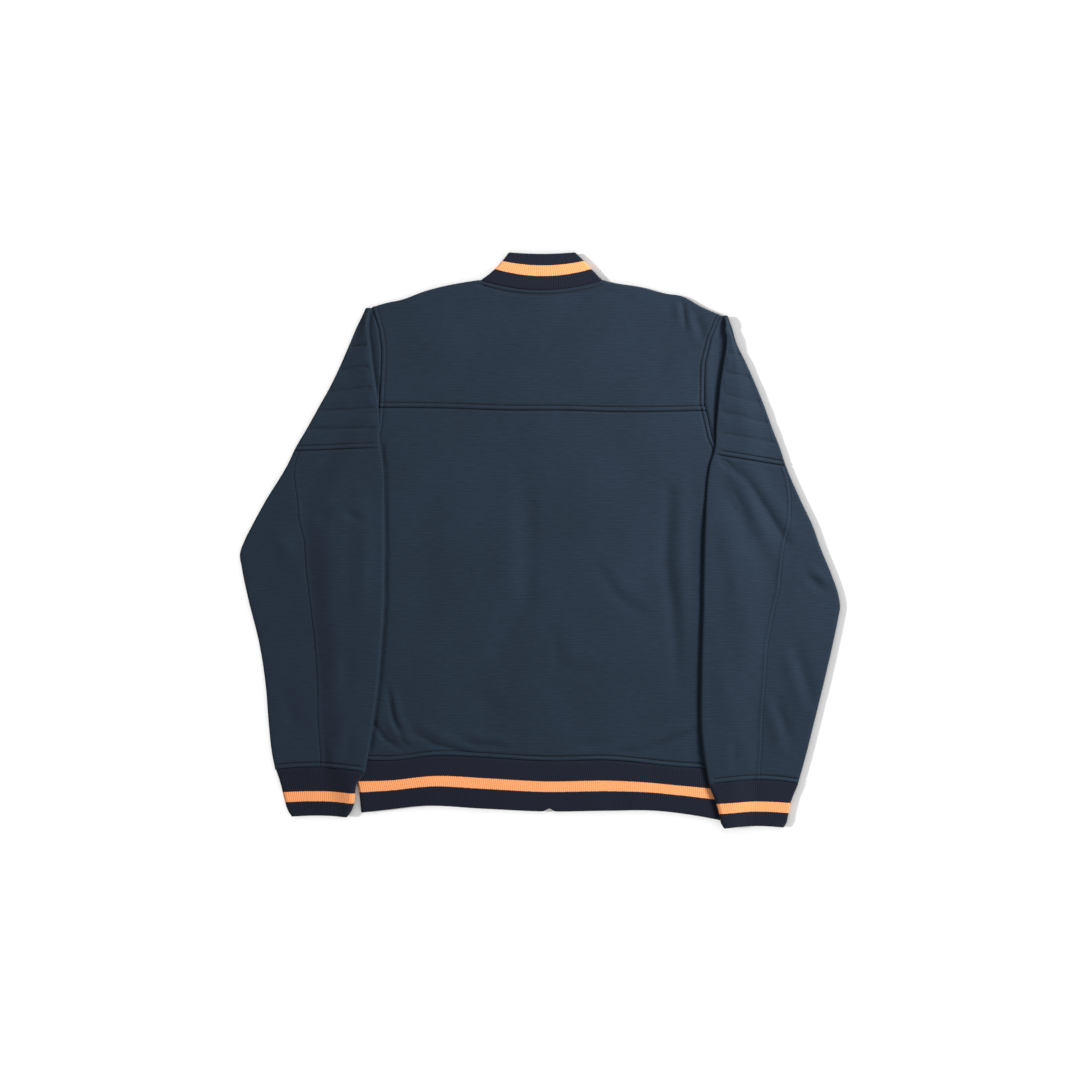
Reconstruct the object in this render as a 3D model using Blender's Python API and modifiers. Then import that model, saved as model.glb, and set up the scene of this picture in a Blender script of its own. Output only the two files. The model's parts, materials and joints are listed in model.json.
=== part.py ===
"""Bomber jacket, laid flat with its back up, its sleeves folded down over its sides.

Metres, +Z up, +Y towards the collar, origin at the middle of the underside. The tables are in
millimetres. Every piece of cloth is a wall of even thickness, set out from sections across the
garment. A section's points are (across, height), where across is measured from the middle of
the back towards the side that the table is for.
"""
from math import cos, pi, radians, sin, sqrt

import bmesh
import bpy
import numpy as np

MM = 0.001

# Walls and the air between them
CLOTH = 1.6
RIB = 2.2
TAPE = 0.5
SEAM = 0.3
ARMHOLE_GAP = 0.7
NECK_GAP = 1.9
AIR = 3.4
LAID_GAP = 0.35
ROLL_GAP = 0.42

# Middle of each layer above the floor
FRONT_Z = CLOTH / 2
BACK_Z = CLOTH + AIR + CLOTH / 2
MIDDLE_Z = (FRONT_Z + BACK_Z) / 2
BODY_TOP = BACK_Z + CLOTH / 2
ON_BODY_Z = BODY_TOP + LAID_GAP + CLOTH / 2
FOLD_RADIUS = (BACK_Z - FRONT_Z) / 2
TUCK_RADIUS = (CLOTH + LAID_GAP) / 2
SLEEVE_LIFT = ON_BODY_Z - FRONT_Z

RIB_FRONT_Z = RIB / 2
RIB_BACK_Z = RIB + 3.0 + RIB / 2
RIB_FOLD_RADIUS = (RIB_BACK_Z - RIB_FRONT_Z) / 2
RIB_LIFT = RIB_BACK_Z + RIB + LAID_GAP - RIB_FRONT_Z

# Where the body ends and the sleeves begin
PIT_Y = 51
ZIP_X = 12
ZIP_HALF_GAP = 5
# Top and bottom of the hem at its end folds, and where a sleeve rises from the body onto the hem
HEM_HEIGHTS = {"left": (-287, -353), "right": (-297, -364)}
ONTO_HEM = (-262, -240)
# How far beyond the body's edge a sleeve or cuff has come down to the floor
LAID_REACH = 17

ARC_STEPS = 4
# Points of a sleeve's section: its start at the seam, then its upper side, with the long seam in it
START_POINTS = 3 + 2 * ARC_STEPS
LONG_SEAM_POINT = START_POINTS + 5
UPPER_POINTS = 7


def table(columns, *rows):
    """Columns of a table by name, each an array with its rows in rising order of the first."""
    names = columns.split()
    ordered = sorted(rows)
    return {name: np.array([row[place] for row in ordered], float) for place, name in enumerate(names)}


# Side edge of the body: side seam, and under the hem's seam the end fold of the hem
SIDE = table(
    "y edge",
    (-285, 246), (-230, 250), (-100, 262), (PIT_Y, 270))

# Armholes: the seam, the tuck behind it, and how far the cloth is turned back there
ARMHOLE = {
    "left": table(
        "y seam tuck turn",
        (301, 218, 222, 0),
        (271, 209, 213, 0),
        (246, 206, 210, 0),
        (213, 207, 211, 0),
        (194, 208, 212, 0),
        (176, 209, 213, 90),
        (164, 210, 217, 180),
        (142, 212, 226, 180),
        (100, 228, 247, 180),
        (PIT_Y, 270, 272, 180)),
    "right": table(
        "y seam tuck turn",
        (291, 235, 239, 0),
        (276, 228, 238, 60),
        (262, 222, 246, 180),
        (230, 214, 251, 180),
        (201, 213, 254, 180),
        (177, 213, 256, 180),
        (157, 218, 258, 180),
        (133, 223, 260, 180),
        (95, 240, 264, 180),
        (PIT_Y, 270, 272, 180)),
}

# Sleeves: their outline outside, their fold on the body, and the long seam down their back
SLEEVE = {
    "left": table(
        "y outer fold long_seam",
        (301, 224, 216, 222),
        (290, 231, 213, 228),
        (280, 236, 211, 233),
        (252, 248, 206, 244),
        (220, 262, 207, 258),
        (176, 285, 208, 280),
        (142, 304, 208, 298),
        (120, 317, 207, 310),
        (97, 328, 203.5, 318),
        (PIT_Y, 356, 202, 315),
        (20, 373, 201.5, 312),
        (-2, 384, 201.5, 306),
        (-18, 389.4, 201.5, 305),
        (-36, 387, 201.5, 304),
        (-79, 378, 202, 299),
        (-131, 365, 205, 293),
        (-189, 356, 210, 289),
        (-239, 352, 216.5, 288),
        (-276, 348, 222, 285.5),
        (-301, 343, 226, 284)),
    "right": table(
        "y outer fold long_seam",
        (291, 243, 238, 241),
        (276, 249, 240, 247),
        (258, 254, 241, 251),
        (227, 268.5, 237, 264),
        (201, 280, 233, 275),
        (170, 292.5, 230, 287),
        (149, 300, 228, 295),
        (118, 312, 226, 305),
        (97, 319, 220, 316),
        (PIT_Y, 339, 215, 325),
        (19, 354, 213, 323),
        (-7, 363, 212, 317),
        (-46, 379, 211, 312),
        (-72, 387.5, 210.6, 309),
        (-87, 389.4, 210.6, 305),
        (-102, 387, 210, 302),
        (-131, 381, 209, 296),
        (-183, 369, 208, 292),
        (-240, 355, 208, 288),
        (-276, 346, 211, 287),
        (-316, 335, 218, 284)),
}
SIGN = {"left": -1, "right": 1}

# Seam across each sleeve under the quilted top, and the seam above each cuff:
# its height at the inner fold, its slope towards the outside, and its rise in the middle
BAND = table("side y slope rise", (0, 119.5, -0.038, 0), (1, 111, -0.16, 0))
WRIST = table("side y slope rise", (0, -300, 0.02, 4), (1, -316, 0, 5))
CAP_TOP_Y = {"left": 299, "right": 288}

# Cuffs from their seam down: height, and their inner and outer folds
CUFF = {
    "left": table(
        "y inner outer",
        (-300, 226, 342.5), (-315, 237, 337), (-339, 242.5, 331), (-352, 247, 326.5), (-358.5, 251, 322)),
    "right": table(
        "y inner outer",
        (-316, 218, 335), (-341, 228, 325), (-356, 232, 322), (-368, 235, 319), (-372.1, 238, 316)),
}

# Seams across the back: yoke, hem and hem's lower edge, from the wearer's left to right
YOKE_SEAM = table("x y", (-210, 171.5), (-134, 171), (-34, 168), (27, 168), (99, 166), (213, 167.5))
HEM_SEAM = table(
    "x y",
    (-246, -285), (-193, -286.5), (-133, -280), (-71, -282.5), (8, -287), (88, -286), (181, -294.5),
    (210, -296), (246, -297))
HEM_EDGE = table(
    "x y",
    (-240, -354), (-196, -349), (-155, -344.5), (-71, -348), (6, -351.5), (88, -350.5), (150, -350.5),
    (197, -356), (240, -364))
HEM_END = {"left": table("v edge", (0, 232), (0.5, 236), (1, 246)), "right": table("v edge", (0, 238), (1, 246))}

# Top of the yoke: shoulder seam, base of the collar, shoulder seam
YOKE_TOP = table(
    "x y",
    (-220, 301), (-197, 307.5), (-180, 311), (-150, 322), (-84, 336), (-77, 337), (81, 337), (84, 336),
    (133, 327), (163, 319), (183, 316), (209, 302), (237, 290))
# Front neck: base and top of the collar in front, outward from the zip
NECK_FRONT = table("x base top", (0, 255, 306), (20, 261, 310), (38, 279, 323), (54, 305, 343), (70, 336, 371))
NECK_HALF_WIDTH = 78

# Collar from its base up: its side folds and its height at the sides and the middle of the back
COLLAR = table(
    "v left right side middle",
    (0, -77, 81, 337, 324.5),
    (0.33, -61, 69, 350, 340),
    (0.66, -50, 58, 361.5, 355.5),
    (1, -41, 46.5, 372.4, 370.3))

# Largest folds of the back and sleeves: a line, its width and how high it stands
LARGE_FOLDS = table(
    "x1 y1 x2 y2 width height",
    (-222, -235, -178, -262, 14, 2.2),
    (-196, -190, -176, -240, 16, 2.0),
    (-10, 60, -24, -90, 26, 1.2),
    (176, 40, 182, -150, 20, 1.6),
    (92, -40, 140, -95, 22, 1.6),
    (14, -120, 40, -165, 24, 1.4),
    (266, 70, 312, 0, 20, 1.8),
    (322, -150, 348, -205, 18, 1.6),
    (-262, 60, -300, 10, 22, 1.4))


def smooth_value(columns, name, at):
    """Value of a table's column on the smooth curve through its rows."""
    keys = next(iter(columns.values()))
    values = columns[name]
    steps = np.diff(keys)
    rises = np.diff(values) / steps
    slopes = np.empty(len(keys))
    slopes[1:-1] = (rises[:-1] * steps[1:] + rises[1:] * steps[:-1]) / (steps[:-1] + steps[1:])
    slopes[0], slopes[-1] = rises[0], rises[-1]
    at = np.clip(at, keys[0], keys[-1])
    place = np.clip(np.searchsorted(keys, at) - 1, 0, len(steps) - 1)
    width = steps[place]
    part = (at - keys[place]) / width
    return ((1 + 2 * part) * (1 - part) ** 2 * values[place] + part * (1 - part) ** 2 * width * slopes[place]
            + part ** 2 * (3 - 2 * part) * values[place + 1] - part ** 2 * (1 - part) * width * slopes[place + 1])


def ease(value, low, high):
    """0 below low, 1 above high, and a smooth step between them."""
    part = np.clip((value - low) / (high - low), 0, 1)
    return part * part * (3 - 2 * part)


def straight_value(columns, name, at):
    """Value of a table's column on the straight lines between its rows."""
    return float(np.interp(at, next(iter(columns.values())), columns[name]))


def body_edge(side, y):
    """Distance from the middle of the back to the body's armhole or side seam."""
    if y > PIT_Y:
        return straight_value(ARMHOLE[side], "seam", y)
    return straight_value(SIDE, "edge", y)


def rest_edge(side, y):
    """Outer edge of what the sleeve and cuff lie on: the body, and lower down the hem."""
    hem_top, hem_bottom = HEM_HEIGHTS[side]
    if y > hem_top:
        return body_edge(side, y)
    return float(smooth_value(HEM_END[side], "edge", (y - hem_bottom) / (hem_top - hem_bottom)))


def fold_height(x, y):
    """Height that the largest folds add at a point of the back or a sleeve."""
    height = 0.0
    for x1, y1, x2, y2, width, top in zip(*LARGE_FOLDS.values()):
        along = ((x - x1) * (x2 - x1) + (y - y1) * (y2 - y1)) / ((x2 - x1) ** 2 + (y2 - y1) ** 2)
        near = min(max(along, 0), 1)
        away = sqrt((x - x1 - near * (x2 - x1)) ** 2 + (y - y1 - near * (y2 - y1)) ** 2)
        height += top * np.exp(-(away / width) ** 2 * 2)
    return height


def arc(centre, radius, start, end, steps=ARC_STEPS):
    """Points (across, height) of an arc, without its first one."""
    angles = np.linspace(radians(start), radians(end), steps + 1)[1:]
    return [(centre[0] + radius * cos(angle), centre[1] + radius * sin(angle)) for angle in angles]


def line(start, end, steps):
    """Points of a straight line, without its first one."""
    return [(start[0] + (end[0] - start[0]) * step / steps, start[1] + (end[1] - start[1]) * step / steps)
            for step in range(1, steps + 1)]


def lift(side, across, y, height, reach=LAID_REACH):
    """How far the body under it lifts a layer of the sleeve, down to nothing at the reach."""
    beyond = across - rest_edge(side, y)
    return height * (1 - ease(beyond, 3, reach))


def sleeve_lift(y):
    """Lift of the sleeve where it lies on the body, and more on the hem."""
    return SLEEVE_LIFT + (RIB_BACK_Z + RIB / 2 + SEAM - BODY_TOP) * (1 - ease(y, *ONTO_HEM))


def tucked_start(side, y, fold, slope):
    """Sleeve cloth from the back armhole seam, out to the tuck and back in to the sleeve's fold."""
    seam = body_edge(side, y)
    seam = body_edge(side, max(y + slope * (seam - fold), PIT_Y + 0.01)) + ARMHOLE_GAP
    turn = radians(straight_value(ARMHOLE[side], "turn", y))
    near_pit = side_roll(y)
    start_z = BACK_Z - (FOLD_RADIUS - SEAM) * near_pit
    seam += CLOTH / 2 * near_pit
    narrow = ease(outline(side, "outer", y) - seam, 4, 20)
    if turn < 0.01:
        step = 0.12 + 0.6 * narrow
        return [(seam + step * place, BACK_Z) for place in range(START_POINTS)]
    first_radius = (ON_BODY_Z - start_z) / 2
    tuck = straight_value(ARMHOLE[side], "tuck", y)
    if turn < radians(170):
        outward, inward = 1.0, 1.6
    else:
        outward = max(tuck - seam - first_radius, 0.4)
        inward = seam + outward - (fold + CLOTH / 2 + TUCK_RADIUS)
    points = [(seam, start_z), (seam + outward, start_z)]
    for place in range(1, ARC_STEPS + 1):
        angle = turn * place / ARC_STEPS
        points.append((points[1][0] + first_radius * sin(angle), start_z + first_radius * (1 - cos(angle))))
    across, height = points[-1]
    points.append((across + inward * cos(turn), height + inward * sin(turn)))
    across, height = points[-1]
    for place in range(1, ARC_STEPS + 1):
        angle = turn * place / ARC_STEPS
        points.append((across + TUCK_RADIUS * (sin(turn) - sin(turn - angle)),
                       height + TUCK_RADIUS * (cos(turn - angle) - cos(turn))))
    return points


def outline(side, column, y):
    """A column of the sleeve's table at a height, on the middle of its wall."""
    value = float(smooth_value(SLEEVE[side], column, y))
    return value - CLOTH / 2 if column == "outer" else value


def under_start(side, y, fold):
    """Sleeve cloth from the underarm seam, in over the body's edge to the sleeve's fold."""
    edge = body_edge(side, y)
    seam = underarm(side, y)
    reach = min(LAID_REACH, seam - edge)
    places = [seam + (edge + 2 - seam) * part for part in (0, 0.25, 0.45, 0.65, 0.85, 1)]
    places.append(fold + CLOTH / 2 + FOLD_RADIUS)
    points = [(place, FRONT_Z + lift(side, place, y, sleeve_lift(y), reach)) for place in places]
    centre = (points[-1][0], points[-1][1] + FOLD_RADIUS)
    return points + arc(centre, FOLD_RADIUS, 270, 90)


def underarm(side, y):
    """Distance out to the underarm seam on the underside of the sleeve."""
    return body_edge(side, y) + 8 + 11 * (1 - ease(y, PIT_Y - 30, PIT_Y))


def sleeve_section(side, y, slope):
    """Points of the sleeve's cloth all the way round, at a height and with a seam's slope."""
    fold = outline(side, "fold", y)
    outer = outline(side, "outer", y + slope * (outline(side, "outer", y) - fold))
    end_radius = FOLD_RADIUS * (0.55 + 0.45 * ease(outer - fold, 6, 24))
    long_seam = outline(side, "long_seam", y + slope * (outline(side, "long_seam", y) - fold))
    above_pit = y >= PIT_Y
    points = tucked_start(side, y, fold, slope) if above_pit else under_start(side, y, fold)
    start, start_z = points[-1]
    edge = body_edge(side, y)
    end = outer - end_radius
    if above_pit:
        last = min(long_seam, end - 0.4)
        past_tuck = straight_value(ARMHOLE[side], "tuck", y) + 2
        settled = min(past_tuck + 22, last - 1)
        if straight_value(ARMHOLE[side], "turn", y) < 170:
            places = [start + (last - start) * part for part in (0.12, 0.3, 0.5, 0.7, 0.85, 1)]
            past_tuck, settled = start, start + 26
        elif settled < past_tuck + 6:
            places = [start + (last - start) * part for part in (0.17, 0.33, 0.5, 0.67, 0.83, 1)]
            past_tuck = settled = last + 50
        else:
            places = [(start + past_tuck) / 2, *np.linspace(past_tuck, settled, 4), last]
    else:
        places = [start + (edge - start) * 0.4, edge + 1, edge + 7, edge + 13, edge + 19, long_seam]
    for place in places + [(places[-1] + end) / 2, end]:
        flat = MIDDLE_Z + end_radius + (0 if above_pit else lift(side, place, y, sleeve_lift(y)))
        if above_pit:
            flat += (start_z - flat) * (1 - ease(place, past_tuck, settled + 0.01))
        points.append((place, flat))
    top = points[-1][1]
    points += arc((end, top - end_radius), end_radius, 90, -90)
    if above_pit:
        stop = body_edge(side, max(y + slope * (edge - fold), PIT_Y + 0.01)) + NECK_GAP + side_roll(y)
    else:
        stop = underarm(side, y) + ARMHOLE_GAP
    low = points[-1]
    for part in (0.33, 0.7, 1):
        height = max(low[1] + (FRONT_Z - low[1]) * min(1, part * 1.5), FRONT_Z)
        points.append((low[0] + (stop - low[0]) * part, height))
    return points


def sleeve_row(side, y, slope, rise, gap):
    """One row of points across a sleeve, round it at a height."""
    fold = outline(side, "fold", y)
    half = (outline(side, "outer", y) - fold) / 2
    row = []
    for place, (across, height) in enumerate(sleeve_section(side, y, slope)):
        part = np.clip((across - fold - half) / half, -1, 1)
        forward = slope * (across - fold) + rise * (1 - part * part) + gap
        x = SIGN[side] * across
        if START_POINTS <= place < START_POINTS + UPPER_POINTS:
            height += fold_height(x, y + forward)
        row.append((x, y + forward, height))
    return row


def seam_rows(seam, side):
    """Height, slope and rise of a seam across one sleeve."""
    place = ("left", "right").index(side)
    return seam["y"][place], seam["slope"][place], seam["rise"][place]


def sleeve_rows(side, heights, seam_above, seam_below):
    """Rows of a sleeve between two seams, whose slopes and rises they take over by degrees."""
    (top, top_slope, top_rise), (bottom, bottom_slope, bottom_rise) = seam_above, seam_below
    rows = []
    for y in heights:
        part = (top - y) / (top - bottom)
        gap = SEAM / 2 if y == bottom else -SEAM / 2 if y == top else 0
        slope = top_slope + (bottom_slope - top_slope) * part
        rows.append(sleeve_row(side, y, slope, top_rise + (bottom_rise - top_rise) * part, gap))
    return rows


def wall(name, rows, thickness, material, closed=False):
    """Sheet through rows of points, made into a wall of even thickness."""
    across, along = len(rows[0]), len(rows)
    mesh = bpy.data.meshes.new(name)
    shape = bmesh.new()
    bmesh.ops.create_grid(shape, x_segments=across - 1, y_segments=along - 1, size=1)
    points = [point for row in rows for point in row]
    for vertex, point in zip(sorted(shape.verts, key=lambda v: (round(v.co.y, 4), v.co.x)), points):
        vertex.co = [value * MM for value in point]
    if closed:
        bmesh.ops.remove_doubles(shape, verts=shape.verts, dist=0.00001)
    bmesh.ops.recalc_face_normals(shape, faces=shape.faces)
    shape.to_mesh(mesh)
    shape.free()
    piece = bpy.data.objects.new(name, mesh)
    jacket.objects.link(piece)
    piece.parent = root
    solidify = piece.modifiers.new("wall", "SOLIDIFY")
    solidify.thickness = thickness * MM
    solidify.offset = 0
    mesh.materials.append(material)
    mesh.shade_smooth()
    mesh.set_sharp_from_angle(angle=radians(40))
    return piece


def make_sleeve(side):
    """Quilted top, back and front panels of one sleeve."""
    band = seam_rows(BAND, side)
    wrist = seam_rows(WRIST, side)
    top = CAP_TOP_Y[side]
    shoulder = (top, 0, 0)
    steps = {"left": (287, 271, 246, 213, 194, 176, 164, 142), "right": (276, 262, 230, 201, 177, 157, 133)}
    cap = sleeve_rows(side, (top, *steps[side], band[0]), shoulder, band)
    wall(f"sleeve_cap_{side}", cap, CLOTH, cloth)
    elbow = {"left": (-2, -18, -36, -79), "right": (-40, -72, -87, -102)}[side]
    lower = (100, 95, 66, 58, PIT_Y, 40, 28, 16, *elbow, -135, -189, -240, -276)
    rows = sleeve_rows(side, (band[0], *lower, wrist[0]), band, wrist)
    wall(f"sleeve_back_{side}", [row[:LONG_SEAM_POINT + 1] for row in rows], CLOTH, cloth)
    front = []
    for row in rows:
        x, y, height = row[LONG_SEAM_POINT]
        front.append([(x + SIGN[side] * SEAM, y, height), *row[LONG_SEAM_POINT + 1:]])
    wall(f"sleeve_front_{side}", front, CLOTH, cloth)


def make_cuff(side):
    """Rib cuff: a tube laid flat, its lower corners rounded."""
    base, slope, rise = seam_rows(WRIST, side)
    rows = []
    for y, inner, outer in zip(*CUFF[side].values()):
        inner, outer = inner + RIB / 2, outer - RIB / 2
        left, right = inner + RIB_FOLD_RADIUS, outer - RIB_FOLD_RADIUS
        points = []
        edge = rest_edge(side, y)
        places = [left]
        for beyond in (1, 6, 10, 14, 18):
            places.append(max(edge + beyond, places[-1] + 1.5))
        places.append(right)
        for across in places:
            points.append((across, RIB_BACK_Z + lift(side, across, y, RIB_LIFT)))
        points += arc((right, points[-1][1] - RIB_FOLD_RADIUS), RIB_FOLD_RADIUS, 90, -90)
        for across in reversed(places[:-1]):
            points.append((across, RIB_FRONT_Z + lift(side, across, y, RIB_LIFT)))
        points += arc((left, points[-1][1] + RIB_FOLD_RADIUS), RIB_FOLD_RADIUS, 270, 90)
        middle, half = (inner + outer) / 2, (outer - inner) / 2
        fade = ease(y, CUFF[side]["y"][0] - 20, base)
        row = []
        for across, height in points:
            part = (across - middle) / half
            forward = slope * (across - inner) + rise * (1 - part * part)
            row.append((SIGN[side] * across, y + forward * (0.4 + 0.6 * fade) - SEAM / 2, height))
        rows.append(row)
    wall(f"cuff_{side}", rows, RIB, rib, closed=True)


def roll(distance, amount):
    """Part of the drop to the seam at a distance from an edge that turns over."""
    beyond = np.clip(1 - distance / FOLD_RADIUS, 0, 1)
    return amount * (FOLD_RADIUS - ROLL_GAP) * (1 - sqrt(1 - beyond * beyond))


EDGE_STEPS = [FOLD_RADIUS * (1 - cos(radians(angle))) for angle in (0, 30, 60, 90)]


def spread(low, high, count, low_edge=True, high_edge=True):
    """Places from low to high, close together at the edges that turn over."""
    first = [low + step for step in EDGE_STEPS] if low_edge else [low]
    last = [high - step for step in reversed(EDGE_STEPS)] if high_edge else [high]
    return first + list(np.linspace(first[-1], last[0], count + 2)[1:-1]) + last


def side_roll(y):
    """How far a body panel's outer edge turns over: fully at the side seam, not at the armhole."""
    return 1 - ease(y, PIT_Y, PIT_Y + 14)


def make_back_body():
    """Back body from the hem seam to the yoke seam."""
    rows = []
    for y in (-290, -265, -240, -200, -150, -100, -50, 5, 42, 51.01, 58, 66, 95, 100, 133, 142, 157, 168):
        low = -body_edge("left", y) + SEAM / 2
        high = body_edge("right", y) - SEAM / 2
        row = []
        for x in spread(low, high, 8):
            bottom = float(smooth_value(HEM_SEAM, "y", x)) + SEAM / 2
            top = float(smooth_value(YOKE_SEAM, "y", x)) - SEAM / 2
            here = y + (bottom + 290) * (1 - ease(y, -290, -200)) + (top - 168) * ease(y, 142, 168)
            drop = roll(min(x - low, high - x), side_roll(y))
            clear = 1 - ease(abs(x), 178, 196)
            row.append((x, here, BACK_Z - drop + fold_height(x, here) * clear))
        rows.append(row)
    wall("back_body", rows, CLOTH, cloth)


def shoulder_roll(x):
    """How far the upper edge turns over: at the shoulder seams, and not under the collar."""
    return ease(abs(x), 70, 84)


def graded(bottom, top, parts):
    """Heights from a panel's lower edge to its upper one, which turns over."""
    flat = [bottom + (top - EDGE_STEPS[-1] - bottom) * part for part in parts]
    return flat + [top - step for step in reversed(EDGE_STEPS)]


def upper_edge(x):
    """Upper edge of the yoke: shoulder seams, and the base of the collar between them."""
    if COLLAR["left"][0] < x < COLLAR["right"][0]:
        return collar_back(0, x) - SEAM / 2 - 3.4 * ease(abs(x), 50, 68)
    return float(smooth_value(YOKE_TOP, "y", x)) - SEAM / 2


def make_back_yoke():
    """Yoke from the yoke seam to the shoulder seams and the collar."""
    left_parts = np.array([0, 0.17, 0.33, 0.58, 0.77])
    right_parts = np.array([0, 0.08, 0.28, 0.51, 0.77])
    rows = []
    for v in range(len(left_parts) + len(EDGE_STEPS)):
        row = []
        for u in np.linspace(0, 1, 17):
            parts = left_parts + (right_parts - left_parts) * u
            y = 235
            for _ in range(8):
                left, right = body_edge("left", y) - SEAM / 2, body_edge("right", y) - SEAM / 2
                x = -left + (left + right) * u
                bottom = float(smooth_value(YOKE_SEAM, "y", x)) + SEAM / 2
                y = graded(bottom, upper_edge(x), parts)[v]
            row.append((x, y, BACK_Z - roll(upper_edge(x) - y, shoulder_roll(x))))
        rows.append(row)
    wall("back_yoke", rows, CLOTH, cloth)


def make_front(side):
    """Plain front from the zip to the side seam, armhole and shoulder."""
    sign = SIGN[side]
    low, high = (-285, 302) if side == "left" else (-296, 291)
    armhole_rows = {"left": (58, 66, 100, 142, 176, 213, 246, 271),
                    "right": (58, 66, 95, 133, 157, 177, 201, 230, 262)}
    columns = np.array([0, 0.1, 0.19, 0.27, 0.32, 0.55, 0.78])
    edge_rows = (low, -230, -100, 20, 51.01, *armhole_rows[side])
    parts = [(y - low) / (high - EDGE_STEPS[-1] - low) for y in edge_rows]
    rows = []
    for v in range(len(parts) + len(EDGE_STEPS)):
        row = []
        for u in range(len(columns) + len(EDGE_STEPS)):
            y = (*edge_rows, *[high] * len(EDGE_STEPS))[v]
            for _ in range(8):
                inner = sign * ZIP_X + ZIP_HALF_GAP
                outer = body_edge(side, y) - SEAM / 2
                across = graded(inner, outer, columns)[u]
                x = sign * across
                bottom = float(smooth_value(HEM_SEAM, "y", x)) + ARMHOLE_GAP
                top = upper_edge(x)
                if COLLAR["left"][0] < x < COLLAR["right"][0]:
                    top = collar_front(0, x) - 2.3 * NECK_GAP
                y = graded(bottom, top, parts)[v]
            rise = max(roll(outer - across, side_roll(y)), roll(top - y, shoulder_roll(across)))
            row.append((sign * across, y, FRONT_Z + rise))
        rows.append(row)
    wall(f"front_{side}", rows, CLOTH, cloth)


def strip_row(left_end, right_end, back_y, front_y, counts=(5, 8)):
    """Row of a rib strip from the zip round one end fold, over the back and round the other."""
    left, right = left_end + RIB / 2 + RIB_FOLD_RADIUS, right_end - RIB / 2 - RIB_FOLD_RADIUS
    row = []
    start = ZIP_X - ZIP_HALF_GAP
    centre_z = RIB_FRONT_Z + RIB_FOLD_RADIUS
    for across, height in [(start, RIB_FRONT_Z)] + line((start, RIB_FRONT_Z), (left, RIB_FRONT_Z), counts[0]):
        row.append((across, front_y(across), height))
    for across, height in arc((left, centre_z), RIB_FOLD_RADIUS, 270, 90):
        part = (height - RIB_FRONT_Z) / (2 * RIB_FOLD_RADIUS)
        row.append((across, front_y(left) + (back_y(left) - front_y(left)) * part, height))
    for across, height in line((left, RIB_BACK_Z), (right, RIB_BACK_Z), counts[1]):
        row.append((across, back_y(across), height))
    for across, height in arc((right, centre_z), RIB_FOLD_RADIUS, 90, -90):
        part = (height - RIB_FRONT_Z) / (2 * RIB_FOLD_RADIUS)
        row.append((across, front_y(right) + (back_y(right) - front_y(right)) * part, height))
    for across, height in line((right, RIB_FRONT_Z), (ZIP_X + ZIP_HALF_GAP, RIB_FRONT_Z), counts[0]):
        row.append((across, front_y(across), height))
    return row


def make_hem():
    """Rib hem, one strip from zip to zip."""
    rows = []
    for v in (0, 0.2, 0.55, 1):
        def back_y(x):
            top = float(smooth_value(HEM_SEAM, "y", x)) - ARMHOLE_GAP
            return top + (float(smooth_value(HEM_EDGE, "y", x)) - top) * (1 - v)

        def front_y(x):
            return back_y(x) + 2.5 * (1 - v) * (1 - ease(abs(x), 180, 225))

        rows.append(strip_row(-float(smooth_value(HEM_END["left"], "edge", v)),
                              float(smooth_value(HEM_END["right"], "edge", v)), back_y, front_y, (4, 12)))
    wall("hem_rib", rows, RIB, rib)


def collar_back(v, x):
    """Height of the collar's back at a part of the way up it."""
    left, right, side, middle = (float(smooth_value(COLLAR, name, v)) for name in list(COLLAR)[1:])
    part = np.clip(2 * (x - left) / (right - left) - 1, -1, 1)
    return middle + (side - middle) * part * part


def collar_front(v, x):
    """Height of the collar's front at a part of the way up it: it dips towards the zip."""
    end = float(smooth_value(COLLAR, "left" if x < ZIP_X else "right", v))
    part = np.clip((x - ZIP_X) / (end - ZIP_X), 0, 1)
    base = float(smooth_value(NECK_FRONT, "base", NECK_HALF_WIDTH * part))
    top = float(smooth_value(NECK_FRONT, "top", NECK_HALF_WIDTH * part))
    return base + (top - base) * v


def make_collar():
    """Rib stand collar, one strip from zip to zip, folded at the sides of the neck."""
    rows = []
    for v in (0, 0.33, 0.66, 1):
        left, right = float(smooth_value(COLLAR, "left", v)), float(smooth_value(COLLAR, "right", v))
        rows.append(strip_row(left, right, lambda x: collar_back(v, x) + ARMHOLE_GAP,
                              lambda x: collar_front(v, x) + ARMHOLE_GAP, (6, 7)))
    wall("collar_rib", rows, RIB, rib)


# Zip: height of its middle, higher where the ribs are thicker
ZIP_BOTTOM_Y = -352.3
ZIP_TOP_Y = 300
TEETH = 1.6
TEETH_HALF_WIDTH = 3.0
TAPE_OUTER = 15
SLIDER_Y = (285, 297)
PIVOT_Y = 291
PIVOT_Z = 0.75
TAB = 0.7
TAB_LENGTH = 28
TAB_HALF_WIDTH = 3.4
NECK_OF_TAB = 2.1
BARREL = 0.25


def zip_z(y):
    """Height of the middle of the zip, just over the fronts and the ribs."""
    over_rib = max(1 - ease(y, -284, -262), ease(y, 234, 256))
    return CLOTH + SEAM + TAPE / 2 + (RIB - CLOTH) * over_rib


def make_tape(side):
    """Tape on the inside of one front's edge, from the hem to the collar."""
    sign = SIGN[side]
    rows = []
    for y in (-344, -288, -272, -258, 230, 245, 260, ZIP_TOP_Y):
        rows.append([(ZIP_X + sign * across, y, zip_z(y)) for across in (TEETH_HALF_WIDTH + SEAM, TAPE_OUTER)])
    wall(f"zip_tape_{side}", rows, TAPE, tape)


def make_teeth(side):
    """One row of teeth as a plain strip that ends inside the slider and above the box."""
    sign = SIGN[side]
    rows = []
    for y in (-344, -288, -272, -258, 230, 245, 260, SLIDER_Y[1] - 3.6):
        rows.append([(ZIP_X + sign * across, y, zip_z(y)) for across in (0.15, TEETH_HALF_WIDTH)])
    wall(f"zip_teeth_{side}", rows, TEETH, metal)


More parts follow.
